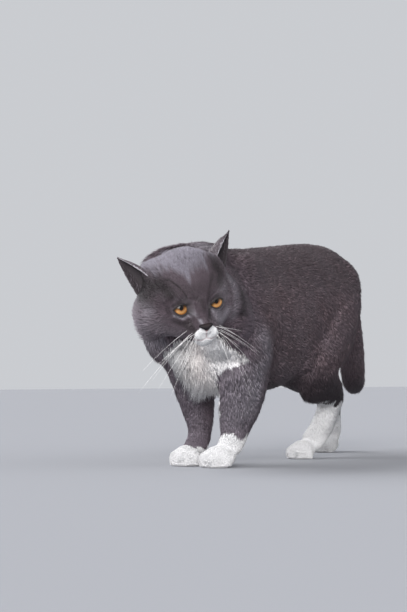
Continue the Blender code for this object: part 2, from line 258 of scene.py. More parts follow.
def refined(mesh, chosen):
    """Splits the faces whose middles are chosen into four."""
    shape = bmesh.new()
    shape.from_mesh(mesh)
    middles = np.array([face.calc_center_median() for face in shape.faces])
    picked = chosen(in_head(middles))
    edges = {edge for face, pick in zip(shape.faces, picked) if pick for edge in face.edges}
    bmesh.ops.subdivide_edges(shape, edges=list(edges), cuts=1, use_grid_fill=True)
    bmesh.ops.triangulate(shape, faces=[face for face in shape.faces if len(face.verts) > 4])
    shape.to_mesh(mesh)
    shape.free()


def is_head(points):
    return (points[:, 0] > -3.5) & (np.linalg.norm(points, axis=1) < HEAD_REACH)


def is_face(points):
    across = np.abs(points[:, 1])
    return (points[:, 0] > 1.2) & (across < 4.2) & (points[:, 2] > -5.2) & (points[:, 2] < 2.6)


def is_eye(points):
    across = np.abs(points[:, 1]) - EYE_ACROSS
    away = (points[:, 0] - EYE_FORWARD) ** 2 + across**2 + points[:, 2] ** 2
    return (away < 1.75**2) & (points[:, 0] > EYE_FORWARD)


def node_labels(places):
    """For each place, the name of the nearest flesh solid."""
    corners, faces, names = [], [], []
    for name in FLESH:
        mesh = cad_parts[name].data
        start = len(corners)
        corners.extend(vertex.co.copy() for vertex in mesh.vertices)
        faces.extend([start + index for index in face.vertices] for face in mesh.polygons)
        names.extend([name] * len(mesh.polygons))
    tree = BVHTree.FromPolygons(corners, faces)
    return np.array([names[tree.find_nearest(place)[2]] for place in places.tolist()])


def part_of(node):
    """The row of PARTS for a solid, whose name may end with its side or its place on the tail."""
    return PARTS.get(node) or PARTS[node.rsplit("_", 1)[0]]


def by_node(labels, value):
    """What value gives for each label's node."""
    names, index = np.unique(labels, return_inverse=True)
    return np.array([value(name) for name in names])[index]


def of_skull(labels):
    return by_node(labels, lambda node: part_of(node)[PIECE] == "crown")


# Where the fur stands out or lies closer, in the body's axes: middle, reach, lift, and how much
# longer the hair is.
FLUFF = (
    ((-0.5, -20.5, 26.0), 5.0, (0.0, 0.0, 0.30), 0.0),  # the shoulders' hump
    ((-3.6, -26.0, 24.4), 2.8, (-0.65, -0.38, 0.30), 0.3),  # behind the right ear
    ((-5.4, -22.6, 12.2), 3.0, (-0.48, -0.29, 0.0), 0.3),  # right of the chest
    ((6.6, -18.9, 6.6), 3.0, (0.36, 0.16, 0.0), 0.2),  # left foreleg
    ((5.0, -21.8, 1.3), 1.6, (0.42, 0.25, 0.05), 0.0),  # left front paw
    ((-2.2, -26.2, 26.0), 3.0, (-0.24, -0.14, 0.28), 0.0),  # neck behind the crown
    ((5.5, -19.3, 4.8), 1.8, (-0.32, -0.19, 0.0), 0.0),  # left foreleg, above the white
    ((-3.8, -18.6, 4.6), 2.2, (0.30, 0.18, 0.0), 0.0),  # right foreleg, above the white
    ((3.4, -9.5, 9.8), 5.0, (0.0, 0.0, -0.60), 0.3),  # belly
    ((4.0, -0.8, 8.8), 2.7, (-0.20, -0.95, -0.70), 0.3),  # before the left knee
)


def blended_seams(places, edges, labels):
    """Fills the creases where the head, shoulders and thighs meet the trunk."""
    groups = by_node(labels, lambda node: part_of(node)[GROUP])
    first, second = groups[edges[:, 0]], groups[edges[:, 1]]
    crossing = edges[(first != second) & (first > 0) & (second > 0)].ravel()
    seam = np.zeros((len(labels), 1))
    seam[crossing] = 1.0
    seam = np.clip(relaxed(seam, edges, SEAM_WIDTH) * 6.0, 0.0, 1.0)
    for _ in range(SEAM_ROUNDS):
        places = places + seam * 0.5 * (averaged(places, edges) - places)
    return places


def fluffed(places):
    """Places lifted where the fur stands out, and how much longer the hair is at each."""
    lifted, longer = places.copy(), np.ones(len(places))
    for centre, reach, lift, more in FLUFF:
        off = (places / CM - np.array(centre)) / reach
        fall = np.exp(-(off**2).sum(axis=1))
        lifted += fall[:, None] * np.array(lift) * CM
        longer += more * fall
    return lifted, longer


def coat_table(labels, points):
    """The rows of COAT for each vertex: five numbers by the kind of place."""
    table = by_node(labels, lambda node: COAT[part_of(node)[KIND]])
    on_skull = of_skull(labels)
    front = ramp(points[:, 0], 0.2, 3.2) * ramp(-np.abs(points[:, 1]), -5.0, -3.2)
    front = (front * on_skull)[:, None]
    table = table * (1 - front) + np.array(COAT["face"]) * front
    cheek = on_skull * ramp(np.abs(points[:, 1]), 3.2, 5.0) * ramp(-points[:, 2], -1.0, 1.5)
    return table * (1 + cheek[:, None] * np.array(CHEEK_MORE))


# ---- the face's form

# Eye openings, in eye radii along the line of the corners and across it.
OPENING_HALF = {-1: 0.84, 1: 0.72}
UPPER_LID, LOWER_LID = {-1: 0.42, 1: 0.34}, {-1: 0.57, 1: 0.54}
# Angles of each eye, in degrees, for the right (-1) and the left (1): outward, and the corners' slant.
EYE_SPLAY, OPENING_SLANT = {-1: -4.0, 1: 6.0}, {-1: 2.0, 1: 12.0}
LID_SKEW = {-1: 0.0, 1: 0.30}  # how much lower the upper lid is on its inner side
EYE_RISE = 13.0
GAZE_RISE, GAZE_TURN = 7.0, {"eye_right": 12.0, "eye_left": 16.0}  # the gaze, from the viewer
LID_RADIUS, CORNEA_SWELL = 1.19, 0.05
BEHIND_EYE = 0.80
LID_REACH = 1.6  # how far from the eye's middle the lids' rims lie
GROOVE_DEPTH, GROOVE_WIDTH = 0.025, 0.07  # the line of the mouth
FACE_FORWARD = 1.6  # how far forward the face's coat begins
BESIDE_EYES_SHORTER, BESIDE_EYES_LIFT = 0.35, 14.0

# Pushes on the skin of the head: middle, reach along each axis, push, in centimetres, and sides.
MIDDLE, BOTH, RIGHT = (1,), SIDES, (-1,)
PUSHES = (
    ((4.9, 0.0, -2.65), (1.2, 0.34, 0.6), (0.10, 0.0, 0.0), MIDDLE),  # between the muzzle's halves
    ((4.6, 0.0, -3.6), (1.0, 0.8, 0.6), (0.12, 0.0, 0.0), MIDDLE),  # chin
    ((3.6, 1.5, -0.6), (1.2, 0.5, 0.8), (-0.10, 0.0, 0.0), BOTH),  # hollow beside the nose
    ((5.4, 0.0, -1.80), (1.0, 0.70, 0.48), (-0.46, 0.0, 0.0), MIDDLE),  # seat of the nose leather
    ((0.6, 5.2, -2.2), (3.2, 2.4, 2.6), (0.0, 0.35, -0.05), BOTH),  # cheek
    ((-0.5, 5.0, -4.0), (2.5, 2.2, 2.0), (0.0, 0.45, -0.30), BOTH),  # lower cheek
    ((-1.4, 4.4, 3.9), (2.4, 1.8, 1.6), (0.0, 0.30, 0.35), BOTH),  # before the ear
    ((-1.8, 0.0, 5.0), (3.6, 4.4, 2.0), (0.0, 0.0, 0.50), MIDDLE),  # crown
    ((-3.2, 4.0, 3.7), (2.0, 1.9, 1.8), (0.0, 0.95, 0.65), RIGHT),  # behind the right ear
    ((-1.0, 4.6, -4.8), (2.5, 2.2, 1.8), (0.0, 0.25, -0.35), RIGHT),  # foot of the right cheek
)


def eye_axes(side):
    """An eye opening's outward, upward and forward axes, as rows, in the head's frame."""
    splay, rise = math.radians(EYE_SPLAY[side]), math.radians(EYE_RISE)
    ahead = np.array((math.cos(splay) * math.cos(rise), side * math.sin(splay), math.sin(rise)))
    out = unit(np.cross(np.array((0.0, 0.0, 1.0)), ahead)) * side
    above = np.cross(ahead, out) * side
    slant = math.radians(OPENING_SLANT[side])
    return (
        out * math.cos(slant) + above * math.sin(slant),
        above * math.cos(slant) - out * math.sin(slant),
        unit(ahead),
    )


def eye_middle(side):
    return np.array((EYE_FORWARD, side * EYE_ACROSS, 0.0))


def lid_gaps(points, side):
    """How far points lie inside the upper and the lower lid's edge, in eye radii, and how near."""
    out, above, ahead = eye_axes(side)
    rays = points - eye_middle(side)
    away = np.linalg.norm(rays, axis=1)
    rays = rays / np.maximum(away, 1e-6)[:, None]
    x, y, z = rays @ out, rays @ above, rays @ ahead
    x = x / OPENING_HALF[side]
    bow = np.clip(1.0 - x**2, -3.0, 1.0) * (1.0 + LID_SKEW[side] * np.clip(x, -1.0, 1.0))
    deep = np.clip(1.0 - np.abs(x) ** 2.4, -3.0, 1.0)
    return UPPER_LID[side] * bow - y, y + LOWER_LID[side] * deep, z, away


def opening_depth(points, side):
    """How far inside the eye opening points lie, in eye radii, below 0 outside it, and how near."""
    upper, lower, z, away = lid_gaps(points, side)
    return np.where(z > 0.1, np.minimum(upper, lower), -1.0), z, away


def shaped_lids(points):
    """The skin drawn over the eyeballs as lids, and let in behind them inside the openings."""
    for side in SIDES:
        inside, z, away = opening_depth(points, side)
        near = ramp(z, 0.28, 0.62) * (away < 2.2)
        edge = ramp(inside, -0.05, 0.07)
        rim = 0.05 * bell(inside + 0.10, 0.09)
        goal = (LID_RADIUS + rim) * (1 - edge) + BEHIND_EYE * edge
        goal = np.where(inside > -0.3, goal, np.maximum(goal, away * 0.6 + goal * 0.4))
        middle_of_eye = eye_middle(side)
        rays = unit(points - middle_of_eye)
        wanted = middle_of_eye + rays * goal[:, None]
        points = points + (wanted - points) * near[:, None]
    return points


def pushed(points):
    """The smaller forms of the head."""
    for centre, reach, push, sides in PUSHES:
        for side in sides:
            mirror = np.array((1.0, side, 1.0))
            off = (points - np.array(centre) * mirror) / np.array(reach)
            fall = np.exp(-(off**2).sum(axis=1) * 1.5)[:, None]
            points = points + fall * np.array(push) * mirror
    return points


def mouth_distance(points):
    """How far points are from the line of the mouth and the groove under the nose."""
    forward, across, up = points.T
    across = np.abs(across)
    groove = np.where((up < -2.1) & (up > -3.1), across, 9.0)
    lip = -3.12 - 0.25 * np.sin(np.clip(across / 1.3, 0, 1) * math.pi) * 1.0
    line = np.where(across < 2.0, np.abs(up - lip), 9.0)
    near = np.minimum(groove, line)
    return np.where(forward > 2.2, near, 9.0)


# ---- markings

# The bib at a few heights: its half width, and how far its middle lies to the cat's left.
BIB_HEIGHTS = (8.0, 8.5, 9.0, 9.98, 10.86, 11.5, 12.0, 12.5, 13.1, 13.9, 14.8, 15.3, 16.0, 17.0)
BIB_HALF_WIDTHS = (0.8, 1.2, 1.45, 1.65, 2.2, 3.15, 4.1, 4.7, 4.9, 4.45, 3.3, 2.4, 1.6, 1.2)
BIB_MIDDLES = (1.2, 1.2, 1.2, 1.05, 0.8, 1.15, 1.5, 1.5, 1.5, 1.35, 1.7, 2.3, 2.7, 2.7)
BIB_TIP, BIB_TIP_REACH = (1.2, -23.5, 10.2), 2.2  # where the bib's longest hair grows
BIB_TIP_LONGER = 1.5  # how much longer it is there
# The white feet's heights, right and left, and the muzzle's half width at a few heights.
FORE_SOCKS, HIND_SOCKS = (2.15, 3.6), (6.0, 7.3)
MUZZLE_UP = (-5.0, -3.6, -3.05, -2.25, -1.85, -1.6)
MUZZLE_HALF_WIDTHS = (1.6, 1.5, 1.50, 1.35, 0.85, 0.4)


def white_share(places, points):
    """How white the coat is at each place, from 0 to 1. points are the same in the head's frame."""
    x, y, z = (places / CM).T
    rough = 0.35 * waves(places / CM, 1.3, 11) + 0.2 * waves(places / CM, 0.5, 12)
    fore = np.where(x > 0.35, FORE_SOCKS[1], FORE_SOCKS[0])
    hind = np.where(x > 0, HIND_SOCKS[1], HIND_SOCKS[0])
    sock = np.where(y < -8.0, fore, hind)
    toes_y = min(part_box(node)[0][1] for node in ("front_paw_left", "front_paw_right")) / CM
    sock = sock + 2.0 * ramp(toes_y + 4.5 - y, 0.0, 2.0)
    white = ramp(sock - z + rough, -0.2, 0.2)
    # The bib runs from the throat down to a point between the forelegs.
    half = np.interp(z, BIB_HEIGHTS, BIB_HALF_WIDTHS)
    off = np.abs(x - np.interp(z, BIB_HEIGHTS, BIB_MIDDLES))
    bib = ramp(half - off + rough, -0.35, 0.35)
    bib *= ramp(-19.2 - y, 0.0, 1.0) * ramp(17.6 - z, 0.0, 0.5)
    in_skull = (np.linalg.norm(points, axis=1) < 7.5) & (points[:, 0] > -2.5)
    under_chin = ramp(-4.3 - points[:, 2], -0.2, 0.4)
    white = np.maximum(white, bib * np.where(in_skull, under_chin, 1.0))
    # The muzzle and chin.
    forward, across, up = points.T
    wide = np.interp(up, MUZZLE_UP, MUZZLE_HALF_WIDTHS)
    muzzle = ramp(wide - np.abs(across) + 0.25 * rough, -0.08, 0.08) * ramp(forward, 2.4, 3.2)
    muzzle *= ramp(-1.6 - up, 0.0, 0.2)
    return np.clip(np.maximum(white, muzzle), 0.0, 1.0)


# Small marks and painted light and shade on the head: a path across and up it, half width, and how much
# paler or darker.
MARKS_AND_SHADING = (
    (((-3.0, -0.55), (-2.15, -0.95), (-1.45, -0.6)), 0.16, 0.75),  # under the right eye
    (((-1.35, -0.5), (-1.3, -0.65)), 0.20, 0.70),
    (((-1.0, 0.1), (-0.85, -0.5)), 0.20, 0.65),  # beside the bridge of the nose
    (((-0.45, -0.95), (-0.38, -1.35)), 0.18, 1.0),  # above the nose leather
    (((1.65, -0.55), (1.75, -0.75)), 0.28, 0.85),  # under the left eye
    (((1.9, -0.7), (2.6, -0.75), (3.2, -0.4)), 0.16, 0.65),
    # Painted highlight along the left cheek's back edge.
    (((4.9, 2.4), (5.3, 0.7), (5.2, -0.6), (4.7, -2.6)), 0.55, 0.40),  # left cheek's edge
    (((3.4, 1.7), (3.8, 0.5)), 0.85, 0.26),  # beside the left eye
    # Painted shadow between the left cheek's back edge and the neck.
    (((7.0, 1.6), (6.4, 0.3), (6.3, -1.0), (6.0, -2.8)), 0.45, -0.75),
    (((2.2, -1.2), (2.8, -2.4), (3.8, -1.4)), 0.70, 0.62),  # left cheek
    # Painted rim light along the right cheek's outer edge.
    (((-5.7, 0.0), (-6.3, -1.2), (-6.2, -2.8), (-5.6, -4.2)), 0.75, 0.42),  # right cheek's edge
    # Paler fur on the right cheek, partly painted light in the shade under the cheek.
    (((-5.4, -1.6), (-4.6, -2.9), (-3.3, -3.6)), 1.20, 0.30),  # right cheek
    (((-5.0, -0.8), (-4.2, -1.9)), 0.70, 0.14),
    (((0.9, 0.9), (1.0, 0.0), (1.1, -1.2)), 0.26, -0.90),  # left of the bridge of the nose
    # Painted shade in the furrow over the left eye.
    (((2.2, 3.4), (1.4, 2.4), (0.95, 1.0)), 0.40, -0.75),
    # Painted shade in the hollow before the left ear.
    (((3.1, 4.1), (3.5, 3.2), (2.9, 2.5)), 0.80, -0.95),  # hollow before the left ear
    # Painted shade in the hollow before the right ear.
    (((-5.9, 1.2), (-5.2, 2.3), (-3.9, 3.0), (-3.3, 2.2)), 1.05, -1.0),  # before the right ear
    # Painted shade in the furrow over the right eye.
    (((-4.2, 3.3), (-3.0, 3.6), (-2.1, 2.9), (-1.6, 2.0), (-1.35, 1.0)), 0.17, -0.95),
    # Painted shade under the brows, over both upper lids.
    (((-3.1, 0.75), (-2.2, 1.0), (-1.35, 0.55), (-1.15, 0.0)), 0.28, -0.85),  # right upper lid
    (((1.15, 0.1), (1.3, 0.5), (2.0, 0.85), (3.0, 0.9)), 0.26, -0.85),  # left upper lid
    # Painted shade between the eyes.
    (((-0.7, 1.7), (0.2, 1.2), (0.1, 0.3)), 0.50, -0.75),  # between the eyes
    (((-3.9, 1.1), (-3.5, -0.2)), 0.45, -0.50),  # beside the right eye
    # Painted shade in the right cheek's hollow.
    (((-3.0, -1.25), (-2.2, -1.7), (-1.5, -2.0)), 0.40, -0.80),  # right cheek's hollow
    (((-2.1, -1.5), (-1.45, -1.4), (-1.3, -2.4)), 0.30, -0.90),
)

# Larger patches of painted light and shade on the body: a path in the body's axes, half width, and how
# much paler or darker.
BODY_LIGHT_AND_SHADE = (
    # Painted shadow in the crease between the left cheek and the neck.
    (((4.9, -21.0, 23.9), (6.0, -21.5, 22.0), (6.6, -21.5, 20.0), (6.3, -22.3, 17.6)), 0.75, -0.25),
    # Painted light on the right of the throat, which the cheek shades.
    (((-6.0, -25.0, 16.4), (-5.0, -25.0, 14.8), (-3.0, -25.2, 15.2)), 1.8, 0.70),  # right of the throat
    # Painted highlight behind the crown, where the light from above falls.
    (((1.3, -23.2, 26.8), (1.8, -22.0, 26.9)), 1.2, 0.90),  # behind the crown
    # Painted sheen on the left foreleg.
    (((5.4, -20.9, 10.5), (5.2, -20.9, 8.2), (4.6, -20.9, 5.5)), 2.4, 0.34),  # left foreleg
    # Painted rim light along the outer edge of the left upper arm and foreleg.
    (((7.9, -18.9, 15.4), (7.6, -17.6, 13.0), (7.3, -18.9, 11.8), (6.0, -19.4, 7.0)), 1.5, 0.56),
)


def from_path(flat, path):
    """How far points of a plane are from a path of straight lines."""
    nearest = np.full(len(flat), np.inf)
    for start, end in zip(path, path[1:]):
        start, way = np.array(start), np.array(end) - np.array(start)
        along = np.clip((flat - start) @ way / (way @ way), 0.0, 1.0)
        nearest = np.minimum(nearest, np.linalg.norm(flat - start - along[:, None] * way, axis=1))
    return nearest


def marks_and_shading(points):
    """How much paler and how much darker the small marks and the painted light and shade make the head.
    """
    paler, darker = np.zeros(len(points)), np.zeros(len(points))
    in_reach = np.linalg.norm(points, axis=1) < HEAD_REACH
    front = np.flatnonzero(in_reach & (points[:, 0] > -3.0))
    flat = points[front, 1:]
    for path, width, share in MARKS_AND_SHADING:
        fall = bell(from_path(flat, path), width) * abs(share)
        chosen = paler if share > 0 else darker
        chosen[front] = np.maximum(chosen[front], fall)
    return paler, darker


# The lower edge of the crown's silver, partly real frosting and partly a painted highlight from the
# light above, across and up the head.
CROWN_ACROSS = (-6.0, -4.0, -2.9, -2.0, -1.4, -0.9, -0.3, 0.5, 2.0, 4.0)
CROWN_UP = (3.9, 4.2, 4.6, 4.6, 4.1, 3.7, 4.3, 4.8, 4.9, 4.9)


def head_colour(points):
    """The grey of the head, with its silver crown, which is partly a painted highlight, painted shade
    on the brow and the face, and small marks and painted light and shade.
    """
    forward, across, up = points.T
    streaks = waves(points * np.array((0.15, 1.0, 0.15)), 0.40, 22) + 0.6 * waves(points, 1.4, 23)
    edge = np.interp(across, CROWN_ACROSS, CROWN_UP)
    # The crown's silver: partly real frosting, partly a painted highlight where the light from above
    # falls.
    crown = ramp(up + 0.40 * streaks - edge, -0.7, 0.5)
    # Painted shade under the brow, and over the front of the face, which lies in shade below the lit
    # crown.
    brow = bell(up - 2.3, 1.3) * ramp(forward, -1.5, 0.5)
    face_shade = ramp(forward, 0.4, 2.6) * ramp(3.6 - up, 0.0, 0.8) * ramp(-np.abs(across), -5.2, -2.6)
    paler, darker = marks_and_shading(points)
    dark = np.clip(0.34 * brow + 0.16 * face_shade, 0.0, 0.75) * (1 - crown)
    grey = mixed(HEAD_GREY, GREY_SILVER, crown)
    grey = mixed(grey, GREY_DARK, np.maximum(dark, darker))
    return mixed(grey, PALE_MARK_AND_LIGHT, paler)


def coat_colour(places, points, white):
    """The colour of the coat at each place, with painted light and shade, before each tuft's own tone
    and painted shade.
    """
    x, y, z = (places / CM).T
    patchy = 0.5 + 0.5 * waves(places / CM, 3.0, 21)
    # Paler forearms: partly real paler hair, partly painted light where the light from the front falls.
    forearm = ramp(-17.0 - y, 0.0, 2.0) * ramp(13.0 - z, 0.0, 3.0)
    # Painted shade on the underside of the belly.
    belly = ramp(y, -16.0, -12.0) * ramp(12.5 - z, 0.0, 3.5)
    # Painted warm bounce light on the flank, back and neck.
    grey = mixed(GREY, GREY_BOUNCE_WARM, ramp(y, -23.0, -15.0) * ramp(z, 7.0, 13.0))
    grey = mixed(grey, GREY_SILVER, 0.12 * patchy + 0.30 * forearm)
    # Painted shade: darker on the belly's underside, and towards the top of the shoulders, where the
    # window light catches the hump.
    grey = mixed(grey, GREY_DARK, 0.75 * belly + 0.33 * ramp(z, 20.0, 25.5))
    # Painted light and shade on the body.
    for path, width, share in BODY_LIGHT_AND_SHADE:
        painted_share = abs(share) * bell(from_path(places / CM, path), width)
        grey = mixed(grey, PALE_MARK_AND_LIGHT if share > 0 else GREY_DARK, painted_share)
    on_skull = ramp(8.3 - np.linalg.norm(points, axis=1), 0.0, 1.0)
    grey = mixed(grey, head_colour(points), on_skull)
    on_bib = ramp(z, 8.0, 11.0) * (points[:, 0] < 2.0)
    # Painted shadow of the chin, beige, over the bib, and painted light towards the cat's left.
    pale = mixed(WHITE, BIB_CHIN_SHADOW, on_bib * ramp(x, -2.0, 2.0))
    pale = mixed(pale, BIB_LIT, on_bib * ramp(x, 1.5, 3.5))
    # Painted shade: the bib dimmer beside the left foreleg, which faces the front light, and towards
    # the cat's right, where the window light falls.
    pale = pale * (1 - 0.20 * on_bib * ramp(x, 5.0, 6.0) * ramp(14.0 - z, 0.0, 1.0))[:, None]
    pale = pale * (1 - 0.34 * on_bib * ramp(-x, -2.4, 0.2))[:, None]
    pale = mixed(pale, LIP_PINK, 0.4 * bell(mouth_distance(points), LIP_HALF_WIDTH))
    return mixed(grey, pale, white)


# ---- the lie of the coat


def lie_of(places, points, labels):
    """The way the coat lies at each vertex, before it is laid on the surface."""
    y = places[:, 1] / CM
    lie = by_node(labels, lambda node: part_of(node)[LIE])
    level = (ramp(y, 26.0, 31.0) * np.char.startswith(labels, "tail"))[:, None]
    lie = lie * (1 - level) + np.array((-0.35, 0.9, -0.1)) * level
    lie[np.isin(labels, ("chest", "neck")) & (y < -19.5)] = (0.0, 0.15, -1.0)
    from_nose = unit(points - np.array(NOSE_TIP)) @ HEAD_AXES.T
    return np.where(of_skull(labels)[:, None], from_nose, unit(lie))


class Skin:
    """The skin's mesh with what the coat needs to know at each vertex."""

    def __init__(self):
        self.mesh = fused_flesh()
        places, _, edges = arrays(self.mesh)
        self.moved(relaxed(places, edges, 24, keep=0.52))
        for chosen in (is_head, is_face, is_eye):
            refined(self.mesh, chosen)
        places, _, self.edges = arrays(self.mesh)
        self.moved(relaxed(places, self.edges, 8, keep=0.5))
        self.labels = node_labels(self.places)
        places, longer = fluffed(blended_seams(self.places, self.edges, self.labels))
        self.moved(places)
        self.table = relaxed(coat_table(self.labels, in_head(self.places)), self.edges, 12)
        self.table[:, LENGTH] *= longer
        self.form()
        self.points = in_head(self.places)
        self.away = np.linalg.norm(self.points, axis=1)
        self.white = white_share(self.places, self.points)
        self.comb()
        self.suit_white()
        self.bare = self.bareness()

    def moved(self, places):
        """Moves the skin's vertices."""
        self.mesh.vertices.foreach_set("co", places.ravel())
        self.mesh.update()
        self.places, self.normals, self.edges = arrays(self.mesh)

    def form(self):
        """Sets the skin inside the solids by the coat's depth, and gives the head its forms."""
        inset = self.table[:, DEPTH, None] * CM + FATTEN_M
        grounded = ramp(self.places[:, 2:] / CM, 0.0, 0.5)
        places = self.places - self.normals * inset * (0.35 + 0.65 * grounded)
        points = pushed(in_head(places))
        groove = GROOVE_DEPTH * bell(mouth_distance(points), GROOVE_WIDTH)
        points = points - (self.normals @ HEAD_AXES) * groove[:, None]
        points = shaped_lids(points)
        of_head = (np.linalg.norm(points, axis=1) < HEAD_REACH)[:, None]
        places = np.where(of_head, on_head(points), places)
        places[:, 2] = np.maximum(places[:, 2], 0.0)
        self.moved(places)

    def comb(self):
        """The lie of the coat on the skin, away from the eyes beside them, where it is shorter."""
        lie = relaxed(lie_of(self.places, self.points, self.labels), self.edges, 30)
        near, outward = self.beside_eyes()
        lie = unit(lie) * (1 - near) + outward * near * 1.6
        self.table[:, [LENGTH]] *= 1 - BESIDE_EYES_SHORTER * near
        self.table[:, [LIFT]] += BESIDE_EYES_LIFT * near
        lie -= self.normals * (lie * self.normals).sum(axis=1, keepdims=True)
        self.lie = unit(lie)

    def suit_white(self):
        """The coat of the muzzle and of the bib, whose tip has the longest hair."""
        on_muzzle = self.white * ramp(self.points[:, 0], 2.4, 3.2) * ramp(8.0 - self.away, 0.0, 0.5)
        on_muzzle = on_muzzle[:, None]
        on_bib = (self.white * ramp(self.places[:, 2] / CM, 8.0, 9.0))[:, None] * (1 - on_muzzle)
        self.table += (np.array(COAT["muzzle"]) - self.table) * on_muzzle
        self.table += (np.array(COAT["bib"]) - self.table) * on_bib
        tip = (self.places / CM - np.array(BIB_TIP)) / BIB_TIP_REACH
        self.table[:, LENGTH] *= 1 + BIB_TIP_LONGER * np.exp(-(tip**2).sum(axis=1))

    def openings(self):
        """For each eye its side, how far inside its opening each vertex is, and how near."""
        for side in SIDES:
            inside, _, away = opening_depth(self.points, side)
            yield side, inside, away

    def beside_eyes(self):
        """How near each vertex is to the lids' edges, and the way out from the eye."""
        near = np.zeros((len(self.points), 1))
        outward = np.zeros((len(self.points), 3))
        for side, inside, away in self.openings():
            close = (ramp(inside, -0.42, -0.12) * ramp(-away, -2.6, -1.8))[:, None]
            rays = unit(self.points - eye_middle(side) - 0.8 * eye_axes(side)[2])
            outward = np.where(close > near, rays @ HEAD_AXES.T, outward)
            near = np.maximum(near, close)
        return near, outward

    def bareness(self):
        """1 where no tuft grows: eye openings and rims, the nose leather, and under the feet."""
        bare = np.zeros(len(self.points))
        for _, inside, away in self.openings():
            bare = np.maximum(bare, (inside > -0.08) & (away < LID_REACH))
        nose = (self.points - np.array((5.3, 0.0, -1.78))) / np.array((0.75, 0.66, 0.40))
        bare = np.maximum(bare, (nose**2).sum(axis=1) < 1.0)
        sole = (self.normals[:, 2] < -0.75) & (self.places[:, 2] < 0.006)
        return np.maximum(bare, sole).astype(float)

    def rim(self):
        """How dark the rim of the lids is at each vertex."""
        dark = np.zeros(len(self.points))
        for _, inside, away in self.openings():
            dark = np.maximum(dark, ramp(inside, -0.18, -0.08) * (away < LID_REACH))
        return dark


# ---- materials


def shader(name, roughness, specular=0.5, sheen=0.0, coat=0.0):
    """A node material with its tree and shader."""
    made = bpy.data.materials.new(name)
    made.use_nodes = True
    surface = made.node_tree.nodes["Principled BSDF"]
    surface.inputs["Roughness"].default_value = roughness
    surface.inputs["Specular IOR Level"].default_value = specular
    surface.inputs["Sheen Weight"].default_value = sheen
    surface.inputs["Sheen Roughness"].default_value = 0.45
    surface.inputs["Coat Weight"].default_value = coat
    surface.inputs["Coat Roughness"].default_value = 0.03
    return made, made.node_tree, surface


def added(tree, kind, inputs=None, **settings):
    """A new node of this kind, fed with values or with the outputs of other nodes."""
    node = tree.nodes.new("ShaderNode" + kind)
    for name, value in settings.items():
        setattr(node, name, value)
    for key, value in (inputs or {}).items():
        if isinstance(value, bpy.types.NodeSocket):
            tree.links.new(value, node.inputs[key])
        else:
            node.inputs[key].default_value = value
    return node


def shaded(tree, surface, colour, factor):
    """Gives the surface a colour times a factor."""
    product = added(tree, "VectorMath", {0: colour}, operation="SCALE")
    tree.links.new(factor, product.inputs["Scale"])
    tree.links.new(product.outputs["Vector"], surface.inputs["Base Color"])


def noise(scale, detail=3.0):
    """What grained says of a noise texture."""
    return "TexNoise", "Fac", {"Scale": scale, "Detail": detail}


def grained(name, roughness, texture, shades, bump=None, specular=0.5, sheen=0.0):
    """A material of the mesh's tint, shaded by a texture that may also stand out as bump."""
    made, tree, surface = shader(name, roughness, specular, sheen)
    kind, output, inputs = texture
    place = added(tree, "TexCoord").outputs["Object"]
    grain = added(tree, kind, {"Vector": place, **inputs}).outputs[output]
    colour = added(tree, "Attribute", attribute_name="tint").outputs["Color"]
    span = {"Value": grain, "To Min": shades[0], "To Max": shades[1]}
    shaded(tree, surface, colour, added(tree, "MapRange", span).outputs["Result"])
    if bump:
        relief = {"Strength": bump[0], "Distance": bump[1], "Height": grain}
        tree.links.new(added(tree, "Bump", relief).outputs["Normal"], surface.inputs["Normal"])
    return made


def skin_material():
    return grained("skin", 0.7, noise(900.0), (0.75, 1.2), (0.6, 0.0004), sheen=0.1)


def coat_material():
    return grained("coat", 0.65, noise(1400.0, 2.0), (0.8, 1.2), (0.25, 0.0002), 0.2, 0.03)


# The iris from its middle to its rim: how far out, and the colour.
IRIS = (
    (0.18, (0.05, 0.018, 0.006)),
    (0.34, (0.20, 0.075, 0.018)),
    (0.56, (0.50, 0.27, 0.10)),
    (0.76, (0.44, 0.16, 0.03)),
    (0.92, (0.035, 0.014, 0.010)),
)
IRIS_RAYS, IRIS_UNEVEN = 9.0, 0.12
PUPIL_HALF_WIDTH, PUPIL_HALF_HEIGHT = 0.24, 0.36
PUPIL_BLACK = (0.004, 0.003, 0.003, 1.0)


